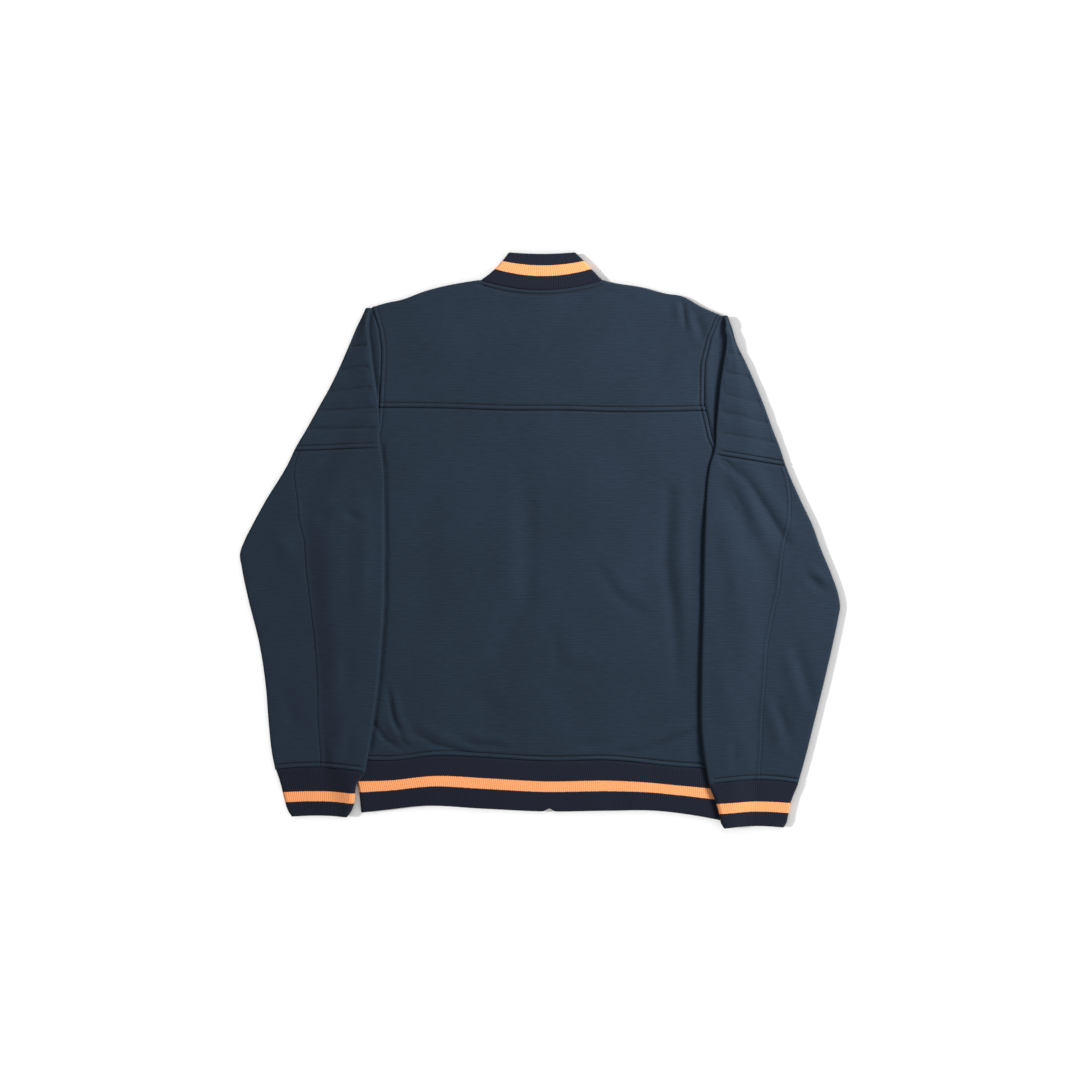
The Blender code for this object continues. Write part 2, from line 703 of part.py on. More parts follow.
def block(name, size, centre):
    """Box of a size about a centre, both in millimetres."""
    bpy.ops.mesh.primitive_cube_add(size=1)
    piece = bpy.context.object
    piece.name = name
    for vertex in piece.data.vertices:
        vertex.co = [(value * side + middle) * MM for value, side, middle in zip(vertex.co, size, centre)]
    for collection in list(piece.users_collection):
        collection.objects.unlink(piece)
    return piece


def join_blocks(name, blocks, material):
    """One solid from overlapping boxes."""
    whole = block(name, *blocks[0])
    jacket.objects.link(whole)
    whole.parent = root
    for number, (size, centre) in enumerate(blocks[1:]):
        added = block(f"{name}_guide_{number}", size, centre)
        guides.objects.link(added)
        added.hide_render = True
        added.display_type = "WIRE"
        union = whole.modifiers.new("join", "BOOLEAN")
        union.operation = "UNION"
        union.object = added
    whole.data.materials.append(material)
    return whole


def make_slider():
    """Slider: two plates with lips, a post between the parted teeth and two lugs for the tab."""
    middle_z = zip_z(SLIDER_Y[0])
    middle_y = sum(SLIDER_Y) / 2
    length = SLIDER_Y[1] - SLIDER_Y[0]
    inner = TEETH / 2 + 0.12
    lower_top, upper_low = middle_z - inner, middle_z + inner
    lower, upper = 0.5, 0.8
    blocks = [
        ((8.6, length, upper), (ZIP_X, middle_y, upper_low + upper / 2)),
        ((8.6, length, lower), (ZIP_X, middle_y, lower_top - lower / 2)),
        ((3.4, 3.0, 2 * inner + 0.6), (ZIP_X, SLIDER_Y[1] - 1.6, middle_z)),
    ]
    for sign in (-1, 1):
        lip_x = ZIP_X + sign * 3.85
        blocks.append(((0.9, length - 0.4, 0.6), (lip_x, middle_y, lower_top + 0.1)))
        blocks.append(((0.9, length - 0.4, 0.6), (lip_x, middle_y, upper_low - 0.1)))
        blocks.append(((0.9, 2.4, 1.4), (ZIP_X + sign * 2.75, PIVOT_Y, lower_top - lower - 0.5)))
    join_blocks("zip_slider", blocks, metal)


def make_pull_tab():
    """Pull tab: a neck with a barrel between the lugs, widening to a rounded grip."""
    round_end = 3
    half = [(NECK_OF_TAB, BARREL), (NECK_OF_TAB, -4), (TAB_HALF_WIDTH, -7), (TAB_HALF_WIDTH, round_end - TAB_LENGTH)]
    outline_points = [(-across, along) for across, along in half]
    outline_points += [(TAB_HALF_WIDTH * cos(angle), round_end * (1 + sin(angle)) - TAB_LENGTH)
                       for angle in np.linspace(pi, 2 * pi, 9)[1:-1]]
    outline_points += reversed(half)
    curve = bpy.data.curves.new("zip_pull_tab", "CURVE")
    curve.dimensions = "2D"
    curve.fill_mode = "BOTH"
    curve.extrude = TAB / 2 * MM
    spline = curve.splines.new("POLY")
    spline.points.add(len(outline_points) - 1)
    spline.use_cyclic_u = True
    for point, (across, along) in zip(spline.points, outline_points):
        point.co = (across * MM, along * MM, 0, 1)
    tab = bpy.data.objects.new("zip_pull_tab", curve)
    jacket.objects.link(tab)
    tab.parent = root
    tab.location = (ZIP_X * MM, PIVOT_Y * MM, PIVOT_Z * MM)
    curve.materials.append(metal)


def make_box():
    """Box at the foot of the zip, which just shows below the hem."""
    top = -344.6
    size = (7.4, top - ZIP_BOTTOM_Y, 2.6)
    piece = block("zip_box", size, (ZIP_X, (top + ZIP_BOTTOM_Y) / 2, zip_z(-350) + 0.2))
    jacket.objects.link(piece)
    piece.parent = root
    piece.data.materials.append(metal)


def finish(name, colour, roughness, metallic=0.0):
    """Material of one colour."""
    material = bpy.data.materials.new(name)
    material.use_nodes = True
    shader = material.node_tree.nodes["Principled BSDF"]
    shader.inputs["Base Color"].default_value = (*colour, 1)
    shader.inputs["Roughness"].default_value = roughness
    shader.inputs["Metallic"].default_value = metallic
    return material


for old in list(bpy.data.objects):
    bpy.data.objects.remove(old, do_unlink=True)
jacket = bpy.data.collections.new("bomber_jacket")
guides = bpy.data.collections.new("guides")
bpy.context.scene.collection.children.link(jacket)
bpy.context.scene.collection.children.link(guides)
root = bpy.data.objects.new("laid_flat", None)
jacket.objects.link(root)

cloth = finish("navy_knit", (0.027, 0.041, 0.062), 0.9)
rib = finish("dark_rib", (0.018, 0.02, 0.032), 0.95)
tape = finish("zip_tape", (0.012, 0.014, 0.02), 0.9)
metal = finish("nickel", (0.72, 0.71, 0.69), 0.3, 1.0)

make_back_body()
make_back_yoke()
for each_side in ("left", "right"):
    make_front(each_side)
    make_sleeve(each_side)
    make_cuff(each_side)
    make_tape(each_side)
    make_teeth(each_side)
make_hem()
make_collar()
make_slider()
make_pull_tab()
make_box()
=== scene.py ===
"""Looks of the bomber jacket: cloth, seams, ribs, stitches and zip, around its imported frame.

The tables and sections are in millimetres, with across measured from the middle of the back
towards the side that a table is for. Finished meshes are in metres.
"""
import json
from math import pi, radians

import bmesh
import bpy
import numpy as np
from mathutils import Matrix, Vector, noise
from mathutils.bvhtree import BVHTree

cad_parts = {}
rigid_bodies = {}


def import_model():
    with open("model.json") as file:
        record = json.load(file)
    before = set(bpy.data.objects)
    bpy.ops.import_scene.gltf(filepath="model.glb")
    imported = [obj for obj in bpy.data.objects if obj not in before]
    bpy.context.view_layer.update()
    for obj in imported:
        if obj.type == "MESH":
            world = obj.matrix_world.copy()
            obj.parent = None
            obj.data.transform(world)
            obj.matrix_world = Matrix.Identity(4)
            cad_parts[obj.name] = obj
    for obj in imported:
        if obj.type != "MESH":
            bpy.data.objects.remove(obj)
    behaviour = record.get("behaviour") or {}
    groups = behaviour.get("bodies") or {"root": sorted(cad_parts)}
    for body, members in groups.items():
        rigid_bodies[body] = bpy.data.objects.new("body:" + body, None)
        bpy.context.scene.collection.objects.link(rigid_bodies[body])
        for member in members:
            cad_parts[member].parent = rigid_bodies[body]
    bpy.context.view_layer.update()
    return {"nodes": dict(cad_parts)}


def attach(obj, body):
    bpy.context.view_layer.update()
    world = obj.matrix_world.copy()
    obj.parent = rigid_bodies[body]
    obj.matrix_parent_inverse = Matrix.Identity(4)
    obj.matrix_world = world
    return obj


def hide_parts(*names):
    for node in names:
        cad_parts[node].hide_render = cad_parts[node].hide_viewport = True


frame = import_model()

bl_info = {
    "name": "Bomber jacket laid flat",
    "version": (1, 0, 0),
    "blender": (4, 5, 0),
    "location": "3D View > Sidebar > Jacket",
    "description": "Builds the cloth, ribs, stitches and zip of a bomber jacket laid flat",
    "category": "Object",
}

MM = 0.001

# Walls and the middle of each layer above the floor, as in the solids
CLOTH = 1.6
RIB = 2.2
LAID_GAP = 0.35
FRONT_Z = CLOTH / 2
BACK_Z = 5.8
MIDDLE_Z = (FRONT_Z + BACK_Z) / 2
FOLD_RADIUS = (BACK_Z - FRONT_Z) / 2
BODY_TOP = BACK_Z + CLOTH / 2
ON_BODY_Z = BODY_TOP + LAID_GAP + CLOTH / 2
TUCK_TOP_Z = ON_BODY_Z + CLOTH + LAID_GAP
SLEEVE_TOP_Z = ON_BODY_Z + 2 * FOLD_RADIUS
RIB_FRONT_Z = RIB / 2
RIB_BACK_Z = 6.3
RIB_FOLD_RADIUS = (RIB_BACK_Z - RIB_FRONT_Z) / 2
RIB_LIFT = RIB_BACK_Z + RIB + LAID_GAP - RIB_FRONT_Z
PIT_Y = 51
ZIP_X = 12
ZIP_HALF_GAP = 5
SEAM = 0.3

# Spacing of the points of the sleeves, their quilted tops, the back and the fronts
STEP = 2.6
CAP_STEP = 1.6
BODY_STEP = 3.0
FRONT_STEP = 4.5
ARC_STEPS = 8
SEAM_STEPS = (0, 0.5, 1, 1.7, 2.6, 3.6, 4.5, 5.1, 5.6, 6.1, 6.7, 7.4, 8.4, 9.8, 11.8)

# How far the rolled edges of the body's panels stop short of the middle between its layers
ROLL_STOP = 0.42

# Relief of a seam: its groove, the cloth that stands up beside it, and its topstitching's groove
SEAM_DEPTH, SEAM_WIDTH = 2.9, 1.3
SEAM_STAND = 0.95
TOPSTITCH = 5.8
STITCH_DEPTH, STITCH_WIDTH = 2.3, 1.35
# Real thread is about 0.4 mm thick, which is too fine to show, so it is drawn thicker, and its dark colour
# paints the shade of the stitch grooves
STITCH_LENGTH, STITCH_THICKNESS = 2.4, 0.95
QUILT_DEPTH = {"left": 2.1, "right": 0.9}
LONG_SEAM_RIDGE = {"left": 0.3, "right": 0.9}

# Sleeve cloth between the armhole seam and the inner fold: straight rise between its two turns,
# groove beside the fold on the left, and deepest sag of the wide wedge on the right
TUCK_RISE = 1.6
GROOVE_PLACE, GROOVE_DEPTH = 2.2, 2.8
WEDGE_DEPTH = 3.3

HEM_HEIGHT = 64
COLLAR_HEIGHT = 47

# Zip teeth: ends of a row, pitch, height and chamfer, then how far across and half how far along
# they reach at the meeting end and at the tape
FIRST_TOOTH_Y = {"left": -343.4, "right": -342.3}
LAST_TOOTH_Y = 290
TOOTH_PITCH, TOOTH_HEIGHT, TOOTH_CHAMFER = 2.2, 1.5, 0.12
TOOTH_TIP, TOOTH_ROOT = (-0.495, 0.42), (3.0, 0.62)

# Width of the floor that the camera sees, in metres
FRAME_WIDTH = 1.404

# Plain materials: dark and light shade, grain in mm, roughness, metal and relief in mm
PLAIN = {
    # dull thread, darker than the cloth: the extra darkness is painted shade of the stitch grooves, so that
    # stitches show as fine dark marks
    "polyester_thread": ("#05070B", "#0C1118", 0.4, 0.8),
    # dull, nearly black weave that sets off the teeth
    "woven_tape": ("#10131A", "#20242E", 0.7, 0.9),
    # clean bright metal with soft gloss
    "bright_nickel": ("#B9B7B2", "#C6C4BF", 0.6, 0.28, 1.0, 0.01),
    # flat white ground that shows nothing but the shadow
    "white_paper_floor": ("#F6F6F6", "#FAFAFA", 60, 0.9, 0.0, 0.0),
}


def table(columns, *rows):
    """Columns of a table by name, each an array with its rows in rising order of the first."""
    names = columns.split()
    ordered = sorted(rows)
    return {name: np.array([row[place] for row in ordered], float) for place, name in enumerate(names)}


SIDE = table("y edge", (-285, 246), (-230, 250), (-100, 262), (PIT_Y, 270))
ARMHOLE = {
    "left": table(
        "y seam tuck turn",
        (301, 218, 222, 20), (292, 215, 219, 80), (271, 209, 213, 105), (246, 206, 210, 105),
        (213, 207, 211, 105), (194, 208, 212, 110), (176, 209, 213, 130), (164, 210, 217, 180),
        (142, 212, 226, 180), (100, 228, 247, 180), (PIT_Y, 270, 272, 180)),
    "right": table(
        "y seam tuck turn",
        (291, 235, 239, 40), (284, 231, 238, 110), (276, 228, 238, 150), (262, 222, 246, 180),
        (230, 214, 251, 180), (201, 213, 254, 180), (177, 213, 256, 180), (157, 218, 258, 180),
        (133, 223, 260, 180), (95, 240, 264, 180), (PIT_Y, 270, 272, 180)),
}
SLEEVE = {
    "left": table(
        "y outer fold long_seam",
        (301, 226, 220.5, 224), (290, 231, 223, 229), (280, 236, 224, 234), (252, 248, 221.5, 245),
        (220, 262, 217.5, 258), (190, 277, 212.5, 272), (176, 285, 209.5, 280), (142, 304, 208, 298),
        (120, 317, 207, 310),
        (97, 328, 203.5, 318), (PIT_Y, 356, 202, 315), (20, 373, 201.5, 312), (-2, 384, 201.5, 306),
        (-18, 389.4, 201.5, 305), (-36, 387, 201.5, 304), (-79, 378, 202, 299), (-131, 365, 205, 293),
        (-189, 356, 210, 289), (-239, 352, 216.5, 288), (-276, 348, 222, 285.5), (-301, 343, 226, 284)),
    "right": table(
        "y outer fold long_seam",
        (291, 243, 238, 241), (276, 249, 240, 247), (258, 254, 241, 251), (227, 268.5, 237, 264),
        (201, 280, 233, 275), (170, 292.5, 230, 287), (149, 300, 228, 295), (118, 312, 226, 305),
        (97, 319, 220, 316), (PIT_Y, 339, 215, 325), (19, 354, 213, 323), (-7, 363, 212, 317),
        (-46, 379, 211, 312), (-72, 387.5, 210.6, 309), (-87, 389.4, 210.6, 305), (-102, 387, 210, 302),
        (-131, 381, 209, 296), (-183, 369, 208, 292), (-240, 355, 208, 288), (-276, 346, 211, 287),
        (-316, 335, 218, 284)),
}
SIGN = {"left": -1, "right": 1}
BAND = {"left": (119.5, -0.038, 0), "right": (111, -0.16, 0)}
WRIST = {"left": (-300, 0.02, 4), "right": (-316, 0, 5)}
CAP_TOP_Y = {"left": 300.6, "right": 290.4}
CUFF = {
    "left": table(
        "y inner outer",
        (-300, 226, 342.5), (-315, 237, 337), (-339, 242.5, 331), (-352, 247, 326.5), (-358.5, 251, 322)),
    "right": table(
        "y inner outer",
        (-316, 218, 335), (-341, 228, 325), (-356, 232, 322), (-368, 235, 319), (-372.1, 238, 316)),
}
YOKE_SEAM = table("x y", (-210, 171.5), (-134, 171), (-34, 168), (27, 168), (99, 166), (213, 167.5))
HEM_SEAM = table(
    "x y",
    (-246, -285), (-193, -286.5), (-133, -280), (-71, -282.5), (8, -287), (88, -286), (181, -294.5),
    (210, -296), (246, -297))
HEM_EDGE = table(
    "x y",
    (-240, -354), (-196, -349), (-155, -344.5), (-71, -348), (6, -351.5), (88, -350.5), (150, -350.5),
    (197, -356), (240, -364))
HEM_END = {
    "left": table("v edge", (0, 232), (0.5, 236), (1, 246)),
    "right": table("v edge", (0, 238), (1, 246)),
}
YOKE_TOP = table(
    "x y",
    (-220, 301), (-197, 307.5), (-180, 311), (-150, 322), (-84, 336), (-77, 337), (81, 337), (84, 336),
    (133, 327), (163, 319), (183, 316), (209, 302), (237, 290))
NECK_FRONT = table(
    "x base top",
    (0, 255, 306), (20, 261, 310), (38, 279, 323), (54, 305, 343), (70, 336, 371))
COLLAR = table(
    "v left right side middle",
    (0, -77, 81, 337, 324.5),
    (0.33, -61, 69, 350, 340),
    (0.66, -50, 58, 361.5, 355.5),
    (1, -41, 46.5, 372.4, 370.3))

# Creases of the upper layer: the points of each, its half width, and how far it stands up as a
# multiple of the common depth
CREASE_DEPTH = 1.8
CREASES = (
    # back body
    (((-20, 84), (-17, 20), (-18, -79), (-58, -135)), 15, -1.5),
    (((-44, 70), (-40, -30), (-46, -90)), 22, 0.8),
    (((168, 62), (163, -23), (172, -88), (179, -185)), 9, -1.7),
    (((184, 60), (181, -30), (190, -110)), 13, 1.5),
    (((76, -34), (96, -68), (118, -86), (140, -97)), 8, -0.75),
    (((86, -30), (106, -58), (128, -78), (150, -90)), 12, 0.6),
    (((14, -116), (27, -166), (79, -171)), 9, -0.5),
    (((24, -104), (44, -150), (84, -158)), 13, 0.5),
    (((-198, -190), (-190, -232), (-178, -260), (-166, -270)), 2.8, -1.5),
    (((-190, -196), (-182, -232), (-168, -256)), 4.5, 1.1),
    (((-216, -238), (-200, -260), (-176, -273)), 3.2, -1.7),
    (((-208, -226), (-190, -248), (-168, -262)), 5, 1.4),
    (((-166, -248), (-138, -265), (-112, -271), (-84, -276)), 3.2, -1.4),
    (((-156, -238), (-128, -255), (-100, -263)), 6, 1.0),
    (((-102, -260), (-81, -267), (-62, -266), (-38, -271)), 4, -1.0),
    (((-98, -250), (-74, -257), (-44, -260)), 6, 0.8),
    (((52, -270), (80, -261)), 5, -0.9),
    (((133, -277), (172, -260), (204, -247)), 5, -1.2),
    (((128, -266), (168, -249), (200, -236)), 8, 1.1),
    (((98, -276), (124, -274)), 4, -0.8),
    (((-90, -196), (-64, -218), (-40, -232)), 16, -0.9),
    (((-150, 60), (-146, -40), (-156, -120)), 24, -0.8),
    (((60, 120), (64, 40), (50, -10)), 26, 0.7),
    # yoke
    (((184, 314), (189, 276)), 2.6, -2.0),
    (((177, 308), (181, 280)), 5, 1.2),
    (((190, 298), (201, 266)), 6, 1.2),
    (((200, 292), (212, 262)), 7, -1.6),
    (((206, 240), (200, 200)), 14, -0.9),
    (((167, 242), (146, 214)), 12, -0.8),
    (((70, 320), (108, 320)), 4, -0.7),
    (((-119, 304), (-88, 308)), 4, -0.7),
    (((-80, 293), (-34, 311)), 5, -0.8),
    (((-150, 270), (-90, 230)), 24, 0.6),
    # left sleeve
    (((-253, 37), (-230, 24)), 6, -1.2),
    (((-290, 34), (-268, 24)), 13, -1.4),
    (((-232, 60), (-226, -20), (-232, -90)), 12, 1.0),
    (((-340, 10), (-318, -28)), 12, 1.2),
    (((-246, -150), (-256, -214)), 11, -1.0),
    (((-330, -190), (-318, -250)), 10, -0.9),
    (((-246, -250), (-252, -290)), 7, -0.9),
    (((-270, -262), (-268, -292)), 6, 0.8),
    (((-256, 150), (-240, 200)), 15, 0.8),
    # right sleeve
    (((230, 108), (259, 82)), 5, -1.6),
    (((261, 86), (278, 62), (320, -4)), 5.5, -1.7),
    (((250, 84), (268, 50), (304, -18)), 8, 1.1),
    (((274, 92), (292, 66), (332, 2)), 10, 1.2),
    (((240, 72), (264, 27), (288, -38)), 14, -2.0),
    (((238, 20), (250, -40), (256, -100)), 14, 1.2),
    (((331, -142), (352, -211)), 8, -1.5),
    (((318, -140), (338, -214)), 9, 1.2),
    (((306, -208), (324, -262)), 7, -1.4),
    (((296, -212), (312, -268)), 8, 1.1),
    (((349, -48), (366, -65)), 6, -1.4),
    (((352, -38), (372, -54)), 6, 1.2),
    (((236, -160), (244, -240)), 13, 1.0),
    (((252, -250), (250, -300)), 6, -1.0),
    (((270, -262), (272, -304)), 7, 0.9),
    (((262, 170), (280, 120)), 14, 0.9),
)
# Lines along which the weight of the sleeves presses the back down, with their depth and half width
PRESSED = (
    (((-205, 122), (-202, 90), (-200.5, 51), (-200, -20), (-200.5, -80), (-203.5, -131), (-208.5, -189),
      (-215, -239), (-220.5, -272)), 2.9, 2.2),
    (((226, 122), (218, 90), (214, 51), (211, -10), (209.5, -72), (208, -131), (206.5, -183), (206.5, -240),
      (209.5, -280)), 0.8, 2.2),
)
# Cross stitching of the quilted sleeve tops
QUILT = {
    "left": (((-244, 250), (-222, 253)), ((-261, 220), (-214, 226)), ((-276, 192), (-212, 199)),
             ((-289, 167), (-212, 171)), ((-298, 144), (-212, 145))),
    "right": (((243, 243), (258, 240)), ((240, 217), (271, 211)), ((236, 189), (283, 179)),
              ((234, 166), (294, 152)), ((231, 139), (306, 126))),
}


def smooth_value(columns, name, at):
    """Value of a table's column on the smooth curve through its rows."""
    keys = next(iter(columns.values()))
    values = columns[name]
    steps = np.diff(keys)
    rises = np.diff(values) / steps
    slopes = np.empty(len(keys))
    slopes[1:-1] = (rises[:-1] * steps[1:] + rises[1:] * steps[:-1]) / (steps[:-1] + steps[1:])
    slopes[0], slopes[-1] = rises[0], rises[-1]
    at = np.clip(at, keys[0], keys[-1])
    place = np.clip(np.searchsorted(keys, at) - 1, 0, len(steps) - 1)
    width = steps[place]
    part = (at - keys[place]) / width
    return ((1 + 2 * part) * (1 - part) ** 2 * values[place] + part * (1 - part) ** 2 * width * slopes[place]
            + part ** 2 * (3 - 2 * part) * values[place + 1]
            - part ** 2 * (1 - part) * width * slopes[place + 1])


def straight_value(columns, name, at):
    """Value of a table's column on the straight lines between its rows."""
    return np.interp(at, next(iter(columns.values())), columns[name])


def ease(value, low, high):
    """0 below low, 1 above high, and a smooth step between them."""
    part = np.clip((value - low) / (high - low), 0, 1)
    return part * part * (3 - 2 * part)


def bell(value, width):
    """1 at zero, falling away over about the width on both sides."""
    return np.exp(-(value / width) ** 2)


def along_path(x, y, points):
    """Distance of each point of a surface from a path, and how far along the path it lies."""
    best = np.full(np.shape(x), 1e9)
    place = np.zeros(np.shape(x))
    lengths = [np.hypot(b[0] - a[0], b[1] - a[1]) for a, b in zip(points, points[1:])]
    gone = 0.0
    for (a, b), length in zip(zip(points, points[1:]), lengths):
        part = np.clip(((x - a[0]) * (b[0] - a[0]) + (y - a[1]) * (b[1] - a[1])) / length ** 2, 0, 1)
        away = np.hypot(x - a[0] - part * (b[0] - a[0]), y - a[1] - part * (b[1] - a[1]))
        closer = away < best
        best = np.where(closer, away, best)
        place = np.where(closer, (gone + part * length) / sum(lengths), place)
        gone += length
    return best, place


def crease_height(x, y):
    """Height that creases and soft unevenness add to the upper layer."""
    height = np.zeros(np.shape(x))
    for points, width, top in CREASES:
        away, place = along_path(x, y, points)
        fade = 0.25 + 0.75 * np.sin(pi * np.clip(place, 0.03, 0.97)) ** 0.7
        height += CREASE_DEPTH * top * fade * bell(away, width)
    return height + unevenness(x, y)


def unevenness(x, y):
    """Soft waves of cloth that has been folded and laid out by hand."""
    flat = np.array([
        0.9 * noise.noise(Vector((px / 95, py / 120, 3.1)))
        + 0.35 * noise.noise(Vector((px / 38, py / 46, 7.7)))
        for px, py in zip(np.ravel(x), np.ravel(y))])
    return flat.reshape(np.shape(x))


def seam_profile(away, stitched=1):
    """Height beside a seam: it turns down at the seam, and stands up as far as its topstitching."""
    height = -SEAM_DEPTH * bell(away, SEAM_WIDTH)
    if np.any(stitched):
        standing = SEAM_STAND * ease(away, 0.2, 1.8) * (1 - ease(away, 4.2, 6.2))
        height += stitched * (standing - STITCH_DEPTH * bell(away - TOPSTITCH, STITCH_WIDTH))
    else:
        height += 0.3 * ease(away, 0.2, 1.6) * (1 - ease(away, 3, 9))
    return height


def seam_spread(low, high, step, low_fine=True, high_fine=True):
    """Places from low to high, close together beside the seams."""
    first = [low + place for place in (SEAM_STEPS if low_fine else (0,))]
    last = [high - place for place in reversed(SEAM_STEPS if high_fine else (0,))]
    count = max(int(round((last[0] - first[-1]) / step)), 1)
    return np.array(first + list(np.linspace(first[-1], last[0], count + 1)[1:-1]) + last)


# Shape of the sleeves

def edge_of(side, y):
    """Distance from the middle of the back to the body's armhole or side seam."""
    return np.where(y > PIT_Y, straight_value(ARMHOLE[side], "seam", y), straight_value(SIDE, "edge", y))


def body_edge(side, y):
    """The same for one height, as a plain number."""
    return float(edge_of(side, y))


def rest_edge(side, y):
    """Outer edge of what the sleeve and cuff lie on: the body, and lower down the hem."""
    hem_top, hem_bottom = (-287, -353) if side == "left" else (-297, -364)
    if y > hem_top:
        return body_edge(side, y)
    return float(smooth_value(HEM_END[side], "edge", (y - hem_bottom) / (hem_top - hem_bottom)))


def outline(side, column, y):
    """A column of the sleeve's table at a height, on the middle of its wall."""
    value = float(smooth_value(SLEEVE[side], column, y))
    return value - CLOTH / 2 if column == "outer" else value


def near_pit(y):
    """1 at the underarm and below it, 0 well above it, where the armhole seam lies flat."""
    return 1 - ease(y, PIT_Y, PIT_Y + 14)


def over_hem(y):
    """Extra height of a sleeve where it comes to lie on the seam of the hem."""
    return 1 - ease(y, -262, -240)


def top_height(y):
    """Height of the sleeve's upper layer beside its inner fold."""
    return TUCK_TOP_Z + (SLEEVE_TOP_Z - TUCK_TOP_Z) * (1 - ease(y, PIT_Y - 35, PIT_Y + 12)) + over_hem(y)


def under_height(y):
    """Height of the sleeve's lower layer where it lies on the body."""
    return ON_BODY_Z + over_hem(y)


def turned(start, height, outward, inward, turn, first_radius, second_radius):
    """Section of cloth that runs outward, turns up and back over itself, and turns out again."""
    points = [(start, height), (start + outward, height)]
    for place in range(1, ARC_STEPS + 1):
        angle = turn * place / ARC_STEPS
        points.append((start + outward + first_radius * np.sin(angle),
                       height + first_radius * (1 - np.cos(angle))))
    across, up = points[-1]
    across, up = across + inward * np.cos(turn), up + inward * np.sin(turn)
    points.append((across, up))
    for place in range(1, ARC_STEPS + 1):
        angle = turn * place / ARC_STEPS
        points.append((across + second_radius * (np.sin(turn) - np.sin(turn - angle)),
                       up + second_radius * (np.cos(turn - angle) - np.cos(turn))))
    return points


def armhole_place(side, y, fold, slope):
    """Where the sleeve's cloth leaves the armhole seam, for a section that slants across it."""
    seam = body_edge(side, max(y + slope * (body_edge(side, y) - fold), PIT_Y + 0.01))
    return seam + SEAM / 2 + CLOTH / 2 * near_pit(y)


def tucked_start(side, y, fold, slope):
    """Sleeve cloth from the back armhole seam, out to the tuck and back in to the sleeve's fold."""
    seam = armhole_place(side, y, fold, slope)
    turn = radians(float(straight_value(ARMHOLE[side], "turn", y)))
    tuck = float(straight_value(ARMHOLE[side], "tuck", y))
    start_z = BACK_Z - (FOLD_RADIUS - SEAM) * near_pit(y)
    first_radius = (ON_BODY_Z - start_z) / 2
    second_radius = (top_height(y) - ON_BODY_Z) / 2
    overhang = second_radius * (np.sin(turn) - 1) if turn > pi / 2 else 0
    room = fold + CLOTH / 2 - seam - first_radius * np.sin(turn) - overhang
    straight = max(room - TUCK_RISE * np.cos(turn), 0.6)
    full = ease(turn, radians(140), radians(178))
    outward = straight + (max(tuck - seam - first_radius, 0.4) - straight) * full
    inward = TUCK_RISE
    if turn > radians(100):
        inward = max((outward - room) / -np.cos(turn), 1.0)
    return turned(seam, start_z, outward, inward, turn, first_radius, second_radius)


def under_start(side, y, fold):
    """Sleeve cloth from the underarm seam, in over the body's edge to the sleeve's fold."""
    edge = body_edge(side, y)
    reach = underarm(side, y)
    radius = (top_height(y) - under_height(y)) / 2
    points = []
    for part in np.linspace(0, 1, 2 + ARC_STEPS):
        place = reach + (edge + 2 - reach) * part
        up = 1 - ease(place, edge + 3, max(reach - 0.5, edge + 4))
        points.append((place, FRONT_Z + (under_height(y) - FRONT_Z) * up))
    centre = fold + CLOTH / 2 + radius
    points.append((centre, under_height(y)))
    for angle in np.linspace(-pi / 2, -3 * pi / 2, ARC_STEPS + 1)[1:]:
        points.append((centre + radius * np.cos(angle), under_height(y) + radius + radius * np.sin(angle)))
    return points


def underarm(side, y):
    """Distance out to the underarm seam on the underside of the sleeve."""
    return body_edge(side, y) + 5 + 14 * (1 - ease(y, PIT_Y - 36, PIT_Y))


# Numbers of points in the stretches of a sleeve's section: under the fold, inner top, outer top
# and underside
TUCK_COUNT = 8
TOP_COUNT = 46
OUTER_COUNT = 30
UNDER_COUNT = 22


def divided(start, end, count):
    """Points of a straight stretch, without its first one."""
    parts = np.linspace(0, 1, count + 1)[1:]
    return [(start[0] + (end[0] - start[0]) * part, start[1] + (end[1] - start[1]) * part) for part in parts]


def fine_start(points, wide):
    """The start of a section with its straight stretches divided. The first one dips under the fold."""
    arc_end = 2 + ARC_STEPS
    start, height = points[0]
    width = points[1][0] - start
    made = []
    for part in np.linspace(0, 1, TUCK_COUNT + 1):
        from_fold = width * (1 - part) / GROOVE_PLACE
        dip = GROOVE_DEPTH * ease(width, 2, 7) * from_fold * np.exp(1 - from_fold)
        if wide:
            dip = WEDGE_DEPTH * ease(width, 3, 14) * np.sin(pi * part)
        made.append((start + width * part, height - dip))
    made += points[2:arc_end]
    made += divided(points[arc_end - 1], points[arc_end], 3 * TUCK_COUNT)
    return made + points[arc_end + 1:]


START_COUNT = 1 + TUCK_COUNT + ARC_STEPS + 3 * TUCK_COUNT + ARC_STEPS


